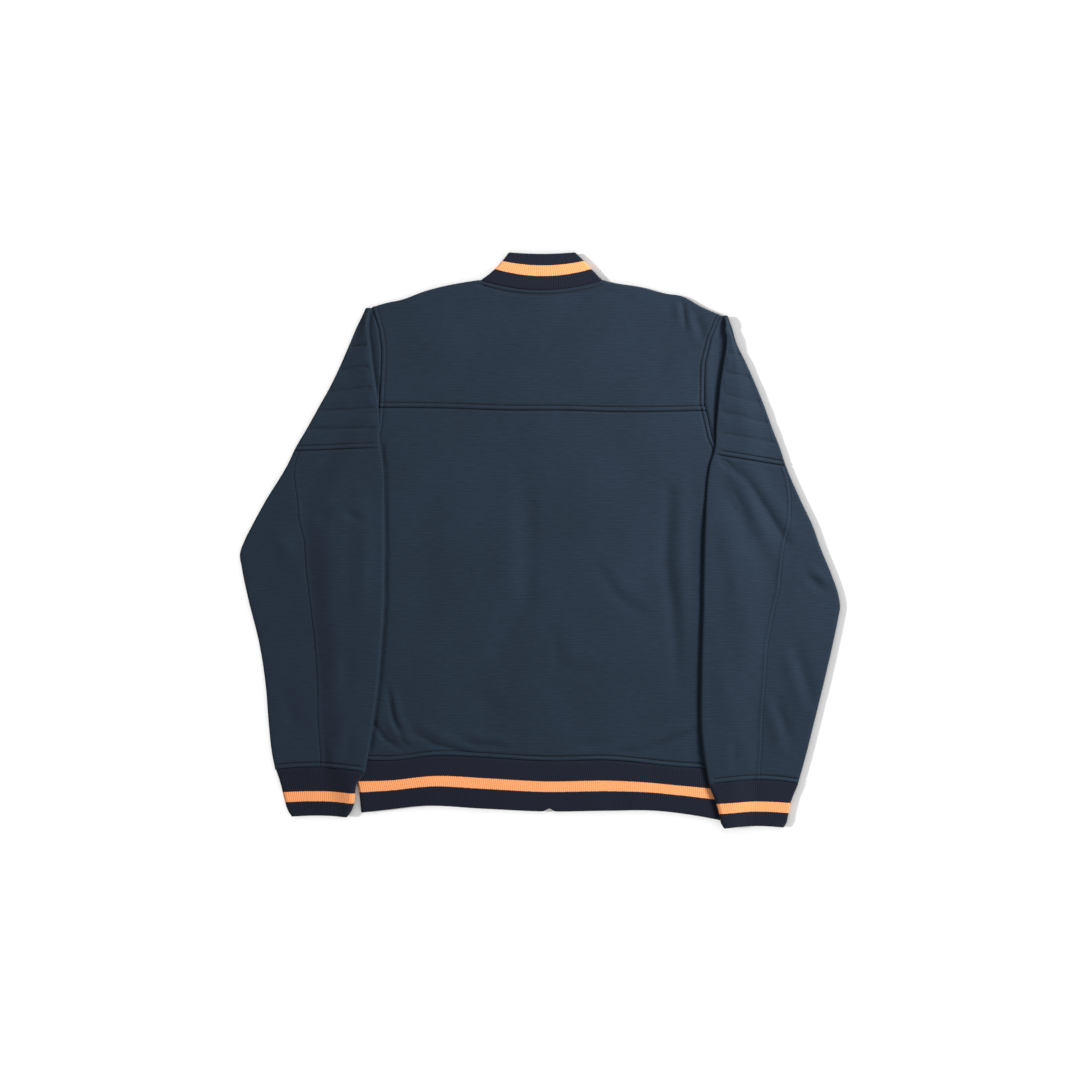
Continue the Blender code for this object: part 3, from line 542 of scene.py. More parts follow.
def sleeve_section(side, y, slope):
    """Points of the sleeve's cloth all the way round."""
    fold = outline(side, "fold", y)
    outer = outline(side, "outer", y + slope * (outline(side, "outer", y) - fold))
    end_radius = FOLD_RADIUS * (0.55 + 0.45 * ease(outer - fold, 6, 24))
    end = outer - end_radius
    long_seam = outline(side, "long_seam", y + slope * (outline(side, "long_seam", y) - fold))
    long_seam = min(long_seam, end - 0.4)
    edge = body_edge(side, y)
    above_pit = y >= PIT_Y
    if above_pit:
        points = tucked_start(side, y, fold, slope)
        start, start_z = points[-1]
        turn = float(straight_value(ARMHOLE[side], "turn", y))
        tuck = float(straight_value(ARMHOLE[side], "tuck", y))
        near = start + (tuck + 1 - start) * ease(turn, 90, 178)
        far = near + 34
        stop = armhole_place(side, y, fold, slope)
    else:
        points = under_start(side, y, fold)
        start, start_z = points[-1]
        near, far = edge + 1, edge + 40
        stop = underarm(side, y) + SEAM
    points = fine_start(points, side == "right")
    # Upper layer, with its points close together on both sides of the long seam
    steps = np.array(SEAM_STEPS) / SEAM_STEPS[-1]
    fine = SEAM_STEPS[-1] * ease(long_seam - start, 20, 60)
    inner = np.linspace(start, long_seam, TOP_COUNT + 1)[1:]
    if fine > 0.01:
        inner = np.linspace(start, long_seam - fine, TOP_COUNT - len(steps) + 2)[1:-1]
        inner = np.concatenate([inner, long_seam - steps[::-1] * fine])
    beyond = long_seam + steps * min(SEAM_STEPS[-1], (end - long_seam) * 0.4)
    outward = np.linspace(beyond[-1], end, OUTER_COUNT - len(steps) + 1)[1:]
    flat = MIDDLE_Z + end_radius
    for place in np.concatenate([inner, beyond, outward]):
        settle = ease(place, near, min(far, max(end, near + 4)))
        points.append((place, start_z + (flat - start_z) * settle))
    # Outer fold and underside
    centre = points[-1][1] - end_radius
    for angle in np.linspace(pi / 2, -pi / 2, ARC_STEPS + 1)[1:]:
        points.append((end + end_radius * np.cos(angle), centre + end_radius * np.sin(angle)))
    low, low_z = points[-1]
    for part in np.linspace(0, 1, UNDER_COUNT + 1)[1:]:
        height = low_z + (FRONT_Z - low_z) * min(1, part * 1.5)
        points.append((low + (stop - low) * part, max(height, FRONT_Z)))
    return points


def sleeve_grid(side, heights, above, below):
    """Points round a sleeve at several heights, with the slope and rise of the seams at both ends."""
    rows = []
    for y in heights:
        part = np.clip((above[0] - y) / (above[0] - below[0]), 0, 1)
        slope = above[1] + (below[1] - above[1]) * part
        rise = above[2] + (below[2] - above[2]) * part
        section = np.array(sleeve_section(side, y, slope))
        fold = outline(side, "fold", y)
        half = (outline(side, "outer", y) - fold) / 2
        place = np.clip((section[:, 0] - fold - half) / half, -1, 1)
        forward = slope * (section[:, 0] - fold) + rise * (1 - place * place)
        rows.append(np.stack([SIGN[side] * section[:, 0], y + forward, section[:, 1]], axis=1))
    return np.array(rows)


def raise_top(grid, first, last, extra):
    """Adds height to the columns of a sleeve's upper layer, fading at its folds."""
    columns = np.arange(grid.shape[1])
    mask = ease(columns, first, first + 5) * (1 - ease(columns, last - 3, last + 3))
    grid[:, :, 2] += extra * mask[None, :]


def distances(grid, axis):
    """Distance along the rows or columns of a grid from its start."""
    steps = np.linalg.norm(np.diff(grid, axis=axis), axis=2)
    zero = np.zeros((1, grid.shape[1])) if axis == 0 else np.zeros((grid.shape[0], 1))
    return np.concatenate([zero, np.cumsum(steps, axis=axis)], axis=axis)


# Meshes

def sheet_object(name, grid, thickness, material, closed=False, straight_knit=False, rib_places=None):
    """Sheet through a grid of points, with the knit's own map in millimetres, made into a wall."""
    along, across = grid.shape[:2]
    shape = bmesh.new()
    bmesh.ops.create_grid(shape, x_segments=across - 1, y_segments=along - 1, size=1)
    mesh = bpy.data.meshes.new(name)
    shape.to_mesh(mesh)
    shape.free()
    flat = np.empty(len(mesh.vertices) * 3)
    mesh.vertices.foreach_get("co", flat)
    flat = flat.reshape(-1, 3).round(5)
    order = np.lexsort((flat[:, 0], flat[:, 1]))
    coordinates = np.empty_like(flat)
    coordinates[order] = grid.reshape(-1, 3) * MM
    mesh.vertices.foreach_set("co", coordinates.ravel())
    if straight_knit:
        u, v = grid[:, :, 0], grid[:, :, 1]
    else:
        u = distances(grid, 1)
        u = u - u[:, across // 2][:, None]
        if rib_places is not None:
            u = rib_places[None, :] + np.zeros((along, 1))
        v = distances(grid, 0).mean(axis=1)[:, None] + np.zeros((1, across))
    uv = np.empty((len(flat), 2))
    uv[order] = np.stack([u.ravel(), v.ravel()], axis=1)
    corners = np.empty(len(mesh.loops), int)
    mesh.loops.foreach_get("vertex_index", corners)
    layer = mesh.uv_layers.new(name="knit")
    layer.data.foreach_set("uv", uv[corners].ravel())
    if closed:
        joined = bmesh.new()
        joined.from_mesh(mesh)
        bmesh.ops.remove_doubles(joined, verts=joined.verts, dist=0.000005)
        joined.to_mesh(mesh)
        joined.free()
    mesh.shade_smooth()
    mesh.materials.append(material)
    piece = bpy.data.objects.new(name, mesh)
    bpy.context.scene.collection.objects.link(piece)
    wall = piece.modifiers.new("wall", "SOLIDIFY")
    wall.thickness = thickness * MM
    wall.offset = 0
    return piece


def cloth_piece(name, grid, flat, area, rests_on=(), thickness=CLOTH, material=None, slot="main_cloth",
                **options):
    """Sheet that stands for the solid of its name."""
    if name not in frame["nodes"]:
        raise RuntimeError(f"the frame has no {name}")
    material = material or material_named("double_knit_navy")
    piece = sheet_object(f"{name}_cloth", grid, thickness, material, **options)
    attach(piece, "jacket")
    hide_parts(name)


# Materials

def colour(code):
    """Linear colour of an sRGB hex value."""
    values = [int(code[place:place + 2], 16) / 255 for place in (1, 3, 5)]
    return (*[value / 12.92 if value <= 0.04045 else ((value + 0.055) / 1.055) ** 2.4 for value in values], 1)


def new_material(name):
    """Empty material with its output."""
    material = bpy.data.materials.new(name)
    material.use_nodes = True
    material.node_tree.nodes.clear()
    return material


def node(material, kind, inputs=(), stops=(), **properties):
    """Adds a node with its properties and colour stops.

    Its inputs are given by name or in order, each as a value, an output, or a node for its first output.
    """
    made = material.node_tree.nodes.new(kind)
    for key, value in properties.items():
        setattr(made, key, value)
    for place, (position, shade) in enumerate(stops):
        made.color_ramp.elements[place].position = position
        made.color_ramp.elements[place].color = shade
    for key, value in inputs.items() if isinstance(inputs, dict) else enumerate(inputs):
        if isinstance(value, bpy.types.Node):
            value = value.outputs[0]
        if isinstance(value, bpy.types.NodeSocket):
            material.node_tree.links.new(value, made.inputs[key])
        else:
            made.inputs[key].default_value = value
    return made


def settings():
    """The panel's sizes and colours."""
    return bpy.context.scene.jacket


def knit_map(material):
    """The knit's own map in millimetres, and its outputs across the knit and along it."""
    both = node(material, "ShaderNodeUVMap", uv_map="knit")
    ways = node(material, "ShaderNodeSeparateXYZ", (both,)).outputs
    return both, ways[0], ways[1]


def waves(material, operation, place, pitch):
    """Waves with a pitch along one way of the map."""
    angle = node(material, "ShaderNodeMath", (place, 2 * pi / (pitch / MM)), operation="MULTIPLY")
    return node(material, "ShaderNodeMath", (angle,), operation=operation)


def grains(material, place, size, detail, roughness=0.5):
    """Uneven grains with a width and a length in millimetres on the map."""
    mapped = node(material, "ShaderNodeMapping", {"Vector": place, "Scale": (1 / size[0], 1 / size[1], 1)})
    return node(material, "ShaderNodeTexNoise",
                {"Vector": mapped, "Scale": 1.0, "Detail": detail, "Roughness": roughness})


def finished(material, base, height, strength, depth_mm, looks):
    """The material with its shader: base colour, fine relief and the other looks."""
    bump = node(material, "ShaderNodeBump",
                {"Strength": strength, "Distance": depth_mm * MM, "Height": height})
    shader = node(material, "ShaderNodeBsdfPrincipled", {"Base Color": base, "Normal": bump, **looks})
    node(material, "ShaderNodeOutputMaterial", (shader,))
    return material


def knit_cloth():
    """Firm double knit of fine yarn: matt and a little fuzzy, with faint lines from its rows."""
    look = settings()
    material = new_material("double_knit_navy")
    both, _, along = knit_map(material)
    rows = waves(material, "SINE", along, look.rib_line)
    # Single stitches, thick places in the yarn, and clouds where the dye took unevenly
    stitches = grains(material, both, (0.9, 1.3), 2, 0.6)
    slubs = grains(material, both, (14, 2.6), 3, 0.55)
    clouds = grains(material, both, (90, 110), 2)
    tone = node(material, "ShaderNodeMath", (rows, 0.03), operation="MULTIPLY")
    for grain, share in ((stitches, 0.55), (slubs, 0.45), (clouds, 0.3)):
        tone = node(material, "ShaderNodeMath", (grain, share, tone), operation="MULTIPLY_ADD")
    base = node(material, "ShaderNodeValToRGB", (tone,), ((0.3, look.cloth_dark), (1.0, look.cloth_light)))
    height = node(material, "ShaderNodeMath", (rows, 0.3, stitches), operation="MULTIPLY_ADD")
    return finished(material, base, height, 0.36, 0.2, {
        "Roughness": 0.9, "Specular IOR Level": 0.13, "Sheen Weight": 0.05, "Sheen Roughness": 0.45,
        "Sheen Tint": (0.75, 0.82, 1.0, 1)})


def rib_knit(name, stripe_low, stripe_high):
    """Rib knit of a darker yarn, dull and soft, with painted shade in its valleys and painted light on its
    ribs, and one stripe between two heights of its map.
    """
    look = settings()
    material = new_material(name)
    both, across, along = knit_map(material)
    ribs = waves(material, "COSINE", across, look.rib)
    yarn = grains(material, both, (1.1, 1.6), 2)
    # The stripe's edges wander a little and bend at each rib
    edge = node(material, "ShaderNodeMath", (grains(material, both, (3, 40), 1), 0.9, along),
                operation="MULTIPLY_ADD")
    edge = node(material, "ShaderNodeMath", (ribs, 0.12, edge), operation="MULTIPLY_ADD")
    sides = [node(material, "ShaderNodeMapRange", (edge, place + 0.15, place + 0.75, below, 1 - below),
                  interpolation_type="SMOOTHSTEP")
             for place, below in ((stripe_low, 0), (stripe_high, 1))]
    stripe = node(material, "ShaderNodeMath", sides, operation="MULTIPLY")
    # The colour goes darker in the valleys between the ribs and lighter on their tops: painted shade and
    # painted light over the ribs, mixed with uneven yarn
    tone = node(material, "ShaderNodeMath", (ribs, 0.25, 0.25), operation="MULTIPLY_ADD")
    tone = node(material, "ShaderNodeMath", (yarn, 0.6, tone), operation="MULTIPLY_ADD")
    base = node(material, "ShaderNodeValToRGB", (tone,), ((0.15, look.rib_valley_painted_shade), (0.9, look.rib_top_painted_light)))
    # The stripe too is painted darker in the rib valleys and lighter on the rib tops: painted shade and
    # painted light, mixed with uneven yarn
    orange = node(material, "ShaderNodeValToRGB", (tone,),
                  ((0.1, look.stripe_valley_painted_shade), (0.8, look.stripe_top_painted_light)))
    mixed = node(material, "ShaderNodeMix", {"Factor": stripe, 6: base, 7: orange}, data_type="RGBA")
    return finished(material, mixed.outputs[2], yarn, 0.5, 0.2, {
        "Roughness": 0.92, "Specular IOR Level": 0.1, "Sheen Weight": 0.04, "Sheen Roughness": 0.5})


def plain_material(name, dark, light, grain_mm, roughness, metallic=0.0, relief_mm=0.05):
    """Material with fine grain on the object's own coordinates."""
    material = new_material(name)
    place = node(material, "ShaderNodeTexCoord").outputs["Object"]
    grain = node(material, "ShaderNodeTexNoise",
                 {"Vector": place, "Scale": 1 / (grain_mm * MM), "Detail": 3})
    base = node(material, "ShaderNodeValToRGB", (grain,), ((0.3, colour(dark)), (0.7, colour(light))))
    return finished(material, base, grain, 0.4, relief_mm, {"Roughness": roughness, "Metallic": metallic})


def material_named(name):
    """Material made once and used by several pieces."""
    if name in bpy.data.materials:
        return bpy.data.materials[name]
    return plain_material(name, *PLAIN[name]) if name in PLAIN else knit_cloth()


# Panels

def collar_back(v, x):
    """Height of the collar's back at a part of the way up it."""
    left, right, side, middle = (smooth_value(COLLAR, name, v) for name in list(COLLAR)[1:])
    part = np.clip(2 * (x - left) / (right - left) - 1, -1, 1)
    return middle + (side - middle) * part * part


def collar_front(v, x):
    """Height of the collar's front at a part of the way up it: it dips towards the zip."""
    left, right = smooth_value(COLLAR, "left", v), smooth_value(COLLAR, "right", v)
    part = np.clip(np.where(x < ZIP_X, (x - ZIP_X) / (left - ZIP_X), (x - ZIP_X) / (right - ZIP_X)), 0, 1)
    base = smooth_value(NECK_FRONT, "base", 78 * part)
    top = smooth_value(NECK_FRONT, "top", 78 * part)
    return base + (top - base) * v


def in_neck(x):
    """Whether places lie between the two ends of the collar's base."""
    return (x > COLLAR["left"][0]) & (x < COLLAR["right"][0])


def upper_edge(x):
    """Upper edge of the yoke: shoulder seams, and the base of the collar between them."""
    return np.where(in_neck(x), collar_back(0, x), smooth_value(YOKE_TOP, "y", x)) - SEAM / 2


def roll(away, amount):
    """Drop of a body panel's edge that turns over to meet the other panel at a seam."""
    beyond = np.clip(1 - away / FOLD_RADIUS, 0, 1)
    return amount * (FOLD_RADIUS - ROLL_STOP) * (1 - np.sqrt(1 - beyond * beyond))


def body_seams(away, x):
    """Height beside the armhole seams, whose topstitching is flatter on the left."""
    return 0.8 * seam_profile(away, np.where(x < 0, 0.4, 0.7))


def back_body_grid():
    """Back body from the hem seam to the yoke seam."""
    low_y, high_y, half = -290, 168, 260
    parts = (seam_spread(-half, half, BODY_STEP) + half) / (2 * half)
    grid = []
    for y in seam_spread(low_y, high_y, BODY_STEP):
        low, high = SEAM / 2 - body_edge("left", y), body_edge("right", y) - SEAM / 2
        x = low + (high - low) * parts
        bottom = smooth_value(HEM_SEAM, "y", x) + SEAM / 2
        top = smooth_value(YOKE_SEAM, "y", x) - SEAM / 2
        here = y + (bottom - low_y) * (1 - ease(y, low_y, -200)) + (top - high_y) * ease(y, 120, high_y)
        away = np.minimum(x - low, high - x)
        under_sleeve = ease(np.abs(x), 186, 203) * (1 - ease(y, 112, 140))
        creases = crease_height(x, here)
        creases = np.where(creases > 0, creases * (1 - under_sleeve), creases)
        for points, depth, width in PRESSED:
            creases = creases - depth * bell(along_path(x, here, points)[0], width)
        height = BACK_Z - roll(away, near_pit(y)) + creases * ease(away, 0, 12)
        height += body_seams(away, x) * ease(y, PIT_Y + 10, PIT_Y + 20)
        height += seam_profile(top - here, 0) + seam_profile(here - bottom)
        grid.append(np.stack([x, here, height], axis=1))
    return np.array(grid)


def yoke_grid():
    """Yoke from the yoke seam to the shoulder seams and the collar."""
    half, tall = 220, 150
    parts = (seam_spread(-half, half, BODY_STEP) + half) / (2 * half)
    ups = seam_spread(0, tall, BODY_STEP) / tall
    y = np.full((len(ups), len(parts)), 235.0)
    # The edges depend on the height and the height on the edges, so a few rounds settle them
    for _ in range(12):
        left, right = edge_of("left", y) - SEAM / 2, edge_of("right", y) - SEAM / 2
        x = -left + (left + right) * parts[None, :]
        bottom = smooth_value(YOKE_SEAM, "y", x) + SEAM / 2
        top = upper_edge(x)
        y = bottom + (top - bottom) * ups[:, None]
    shoulder = ease(np.abs(x), 70, 86)
    away = np.minimum(x + left, right - x)
    height = BACK_Z - roll(top - y, shoulder) + seam_profile(y - bottom)
    height += body_seams(away, x) + seam_profile(top - y) * (1 - shoulder)
    height += crease_height(x, y) * ease(away, 0, 12) * ease(top - y, 0, 14)
    return np.stack([x, y, height], axis=2)


def front_grid(side):
    """Plain front from the zip to the side seam, armhole and shoulder."""
    sign, wide, tall = SIGN[side], 250, 600
    parts = seam_spread(0, wide, FRONT_STEP) / wide
    ups = seam_spread(0, tall, FRONT_STEP) / tall
    # A first guess at the heights, settled in rounds as for the yoke
    y = np.zeros((len(ups), len(parts))) + (-285 + 587 * ups)[:, None]
    inner = sign * ZIP_X + ZIP_HALF_GAP
    for _ in range(14):
        outer = edge_of(side, y) - SEAM / 2
        across = inner + (outer - inner) * parts[None, :]
        x = sign * across
        bottom = smooth_value(HEM_SEAM, "y", x) + SEAM / 2
        top = np.where(in_neck(x), collar_front(0, x) - 1.3, upper_edge(x))
        y = bottom + (top - bottom) * ups[:, None]
    rise = np.maximum(roll(outer - across, near_pit(y)), roll(top - y, ease(across, 70, 86)))
    sunk = 0.5 * (bell(across - inner - TOPSTITCH, 0.9) + bell(y - bottom - TOPSTITCH, 0.9))
    return np.stack([x, y, FRONT_Z + rise + sunk], axis=2)


def make_sleeve(side):
    """Quilted top, back and front panels of one sleeve, as grids with their seams and creases."""
    band, wrist, top = BAND[side], WRIST[side], CAP_TOP_Y[side]
    first, last = START_COUNT - 1, START_COUNT + TOP_COUNT + OUTER_COUNT
    long_place = START_COUNT + TOP_COUNT - 1
    rows = seam_spread(band[0] + SEAM / 2, top, CAP_STEP, True, False)[::-1]
    cap = sleeve_grid(side, rows, (top, 0, 0), band)
    x, y = cap[:, :, 0], cap[:, :, 1]
    seam_line = band[0] + band[1] * (np.abs(x) - outline(side, "fold", band[0]))
    extra = crease_height(x, y) + seam_profile(y - seam_line)
    for points in QUILT[side]:
        away, _ = along_path(x, y, points)
        extra = extra - QUILT_DEPTH[side] * bell(away, 1.5) - 0.35 * bell(away, 5)
    for above, below in zip(QUILT[side], QUILT[side][1:]):
        middle = [((a[0] + b[0]) / 2, (a[1] + b[1]) / 2) for a, b in zip(above, below)]
        extra = extra + 0.8 * bell(along_path(x, y, middle)[0], 8)
    raise_top(cap, first, last, extra)
    cap[:, :, 2] -= 0.9 * bell(distances(cap, 1), 0.9)
    lower = sleeve_grid(side, seam_spread(wrist[0], band[0] - SEAM / 2, STEP)[::-1], band, wrist)
    x, y = lower[:, :, 0], lower[:, :, 1]
    down, round_way = distances(lower, 0), distances(lower, 1)
    extra = crease_height(x, y) + seam_profile(down, 0) + seam_profile(down[-1:, :] - down)
    beside = round_way - round_way[:, long_place][:, None]
    extra = extra + LONG_SEAM_RIDGE[side] * bell(beside + 2.6, 2.2) - 0.8 * bell(beside, 0.9)
    raise_top(lower, first, last, extra)
    outer = lower[:, long_place + 1:].copy()
    outer[:, 0, 0] += SIGN[side] * SEAM
    return cap, lower[:, :long_place + 1], outer


def make_cuff_grid(side):
    """Rib cuff: a tube laid flat, its ribs in the mesh."""
    base, slope, rise = WRIST[side]
    bottom = CUFF[side]["y"][0]
    heights = np.concatenate([[bottom, bottom + 0.6, bottom + 1.5, bottom + 3],
                              np.linspace(bottom + 6, base - 4, 14), [base - 2, base - 1, base - 0.4, base]])
    arc_angles = np.linspace(pi / 2, -pi / 2, 13)[1:-1]
    arc = np.stack([np.cos(arc_angles), np.sin(arc_angles)], axis=1)
    rows = []
    for y in heights:
        inner = float(smooth_value(CUFF[side], "inner", y)) + RIB / 2
        outer = float(smooth_value(CUFF[side], "outer", y)) - RIB / 2
        left, right = inner + RIB_FOLD_RADIUS, outer - RIB_FOLD_RADIUS
        flat = np.linspace(left, right, 150)
        edge = rest_edge(side, y)
        reach = edge + 40
        up = RIB_LIFT * (1 - ease(flat, edge + 3, reach)) * ease(reach - left, 0, 30)
        low_up = RIB_LIFT * (1 - ease(flat, edge + 3, edge + 17))
        top = np.stack([flat, RIB_BACK_Z + up], axis=1)
        under = np.stack([flat, RIB_FRONT_Z + low_up], axis=1)[::-1]
        outside, inside = [
            np.array([x, (high[1] + low[1]) / 2]) + arc * way * (high[1] - low[1]) / 2
            for x, high, low, way in (
                (right, top[-1], under[0], (1, 1)), (left, top[0], under[-1], (-1, -1)))]
        section = np.concatenate([top, outside, under, inside, top[:1]])
        middle, half = (inner + outer) / 2, (outer - inner) / 2
        part = np.clip((section[:, 0] - middle) / half, -1, 1)
        forward = slope * (section[:, 0] - inner) + rise * (1 - part * part)
        forward = forward * (0.4 + 0.6 * ease(y, base - 20, base))
        from_seam = base - y
        shape = 0.4 * bell(from_seam - 26, 16) - 0.8 * bell(y - bottom, 1.2) - 0.9 * bell(from_seam, 0.9)
        shape = shape + 0.5 * np.array([noise.noise(Vector((x / 22, y / 40, 5.0))) for x in flat])
        height = section[:, 1].copy()
        height[:len(flat)] += shape
        rows.append(np.stack([SIGN[side] * section[:, 0], y + forward - SEAM / 2, height], axis=1))
    return np.array(rows)


def rib_places(grid):
    """Places of the columns of a grid round its middle row, by which ribs are spaced."""
    middle = distances(grid, 1)[grid.shape[0] // 2]
    return middle - middle[grid.shape[1] // 2]


def add_ribs(grid, pitch, depth):
    """Raises ribs that run up a grid, spaced evenly round its middle row."""
    wave = 0.5 * depth * np.cos(2 * pi * rib_places(grid) / pitch)
    across = np.gradient(grid, axis=1)
    up = np.gradient(grid, axis=0)
    normal = np.cross(across, up)
    normal /= np.maximum(np.linalg.norm(normal, axis=2, keepdims=True), 1e-9)
    outward = np.sign((normal[:, :, 2] * (grid[:, :, 2] - MIDDLE_Z)).mean()) or 1
    fade = np.ones(grid.shape[0])
    fade[0] = fade[-1] = 0.3
    return grid + normal * outward * wave[None, :, None] * fade[:, None, None]


def lengths_along(path):
    """Distance along a path to each of its points."""
    return np.concatenate([[0], np.cumsum(np.linalg.norm(np.diff(path, axis=0), axis=1))])


def strip_path(left_end, right_end, back_y, front_y):
    """Points of a rib strip from the zip round one end fold, over the back and round the other."""
    left, right = left_end + RIB / 2 + RIB_FOLD_RADIUS, right_end - RIB / 2 - RIB_FOLD_RADIUS
    angles = np.linspace(-pi / 2, pi / 2, 15)
    part = (np.sin(angles) + 1) / 2

    def flat(start, end, count, y_at, z):
        x = np.linspace(start, end, count)
        return np.stack([x, y_at(x), np.full(count, z)], axis=1)

    def fold(x, way, start_y, end_y):
        return np.stack([x + way * RIB_FOLD_RADIUS * np.cos(angles), start_y + (end_y - start_y) * part,
                         RIB_FRONT_Z + RIB_FOLD_RADIUS * (1 - way * np.sin(angles))], axis=1)

    pieces = [
        flat(ZIP_X - ZIP_HALF_GAP, left, 90, front_y, RIB_FRONT_Z),
        fold(left, -1, front_y(np.array(left)), back_y(np.array(left))),
        flat(left, right, 240, back_y, RIB_BACK_Z),
        fold(right, 1, back_y(np.array(right)), front_y(np.array(right))),
        flat(right, ZIP_X + ZIP_HALF_GAP, 90, front_y, RIB_FRONT_Z)]
    return np.concatenate([pieces[0]] + [piece[1:] for piece in pieces[1:]])


def strip_grid(paths, spacing):
    """Grid of a strip from one path for each of its heights, with the same number of points in each."""
    count = int(round(lengths_along(paths[len(paths) // 2])[-1] / spacing)) + 1
    rows = []
    for path in paths:
        gone = lengths_along(path)
        places = np.linspace(0, gone[-1], count)
        rows.append(np.stack([np.interp(places, gone, path[:, axis]) for axis in range(3)], axis=1))
    return np.array(rows)


def strip_parts(length):
    """Parts of the way up a rib strip, close together at its edge and its seam."""
    last = [length - place for place in (2, 1, 0.4, 0)]
    return np.concatenate([[0, 0.5, 1.3, 2.6], np.linspace(5, length - 4, 13), last]) / length


def hem_grid():
    """Rib hem, one strip from zip to zip, with a small notch over the foot of the zip."""
    paths = []
    for v in strip_parts(HEM_HEIGHT):
        def back_y(x):
            top = smooth_value(HEM_SEAM, "y", x) - SEAM / 2
            notch = 4.2 * bell(x - ZIP_X, 5) * (1 - v) ** 6
            return top + (smooth_value(HEM_EDGE, "y", x) + notch - top) * (1 - v)

        def front_y(x):
            return back_y(x) + 3.0 * (1 - v) * (1 - ease(np.abs(x), 180, 225))

        ends = [float(smooth_value(HEM_END[side], "edge", v)) for side in ("left", "right")]
        paths.append(strip_path(-ends[0], ends[1], back_y, front_y))
    grid = strip_grid(paths, 0.66)
    x, y = grid[:, :, 0], grid[:, :, 1]
    up = strip_parts(HEM_HEIGHT)[:, None] * HEM_HEIGHT
    uneven = np.array([noise.noise(Vector((a / 34, b / 60, 1.4))) for a, b in zip(x.ravel(), y.ravel())])
    relief = 0.8 * uneven.reshape(x.shape) * ease(up, 0, 12) + 0.35 * bell(up - 34, 20)
    relief += -0.8 * bell(up, 1.1) - 1.0 * bell(HEM_HEIGHT - up, 0.9)
    grid[:, :, 2] += ease(grid[:, :, 2], 4, 6) * relief
    return grid


def collar_grid():
    """Rib stand collar, one strip from zip to zip, folded at the sides of the neck."""
    paths = []
    for v in strip_parts(COLLAR_HEIGHT):
        ends = [float(smooth_value(COLLAR, side, v)) for side in ("left", "right")]
        paths.append(strip_path(*ends, lambda x: collar_back(v, x) + SEAM / 2,
                                lambda x: collar_front(v, x) + SEAM / 2))
    grid = strip_grid(paths, 0.6)
    up = strip_parts(COLLAR_HEIGHT)[:, None] * COLLAR_HEIGHT
    relief = 0.5 * bell(up - 22, 14) - 0.9 * bell(up, 0.9) - 0.9 * bell(COLLAR_HEIGHT - up, 1.2)
    grid[:, :, 2] += ease(grid[:, :, 2], 4, 6) * relief
    return grid


# Stitches and small things on the surface

def surface_tree(pieces):
    """Tree of the finished cloth, for setting things down on it."""
    graph = bpy.context.evaluated_depsgraph_get()
    points, faces = [], []
    for piece in pieces:
        mesh = piece.evaluated_get(graph).to_mesh()
        start = len(points)
        flat = np.empty(len(mesh.vertices) * 3)
        mesh.vertices.foreach_get("co", flat)
        points.extend(map(tuple, flat.reshape(-1, 3)))
        faces.extend(tuple(start + corner for corner in face.vertices) for face in mesh.polygons)
        piece.evaluated_get(graph).to_mesh_clear()
    return BVHTree.FromPolygons(points, faces)


def path_places(points, pitch, skip=1.5):
    """Places along a path at an even pitch, with the path's direction there."""
    path = np.array(points, float)
    gone = lengths_along(path)
    for length in np.arange(skip, gone[-1] - skip, pitch):
        behind, place, ahead = [[np.interp(at, gone, path[:, axis]) for axis in (0, 1)]
                                for at in (length - 0.5, length, length + 0.5)]
        yield place, (ahead[0] - behind[0], ahead[1] - behind[1])


def add_stitches(shape, tree, points, pitch, length, width):
    """Adds a row of stitches to a mesh, each a short spindle lying on the cloth."""
    for (x, y), direction in path_places(points, pitch):
        hit, normal, _, _ = tree.ray_cast(Vector((x * MM, y * MM, 0.06)), Vector((0, 0, -1)))
        if hit is None:
            continue
        along = Vector((*direction, 0)).normalized()
        along = (along - normal * along.dot(normal)).normalized()
        aside = normal.cross(along)
        middle = hit + normal * width * 0.15 * MM
        ends = [shape.verts.new(middle + along * way * length / 2 * MM - normal * 0.25 * MM)
                for way in (-1, 1)]
        ring = [shape.verts.new(middle + (aside * np.cos(angle) + normal * np.sin(angle)) * width / 2 * MM)
                for angle in (step * pi / 3 for step in range(6))]
        for step in range(6):
            shape.faces.new((ends[0], ring[(step + 1) % 6], ring[step]))
            shape.faces.new((ends[1], ring[step], ring[(step + 1) % 6]))


def joined_piece(name, shape, material):
    """Object from a finished bmesh."""
    bmesh.ops.recalc_face_normals(shape, faces=shape.faces)
    mesh = bpy.data.meshes.new(name)
    shape.to_mesh(mesh)
    shape.free()
    mesh.shade_smooth()
    mesh.materials.append(material)
    piece = bpy.data.objects.new(name, mesh)
    bpy.context.scene.collection.objects.link(piece)
    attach(piece, "jacket")
    return piece


def across_sleeve(side, seam, margin):
    """Topstitching over a sleeve, just above a seam that slants and bows across it."""
    base, slope, rise = seam
    fold, outer = outline(side, "fold", base), outline(side, "outer", base)
    half = (outer - fold) / 2
    return [(SIGN[side] * place,
             base + slope * (place - fold) + rise * (1 - ((place - fold - half) / half) ** 2) + TOPSTITCH)
            for place in np.linspace(fold + margin, outer - margin, 30)]


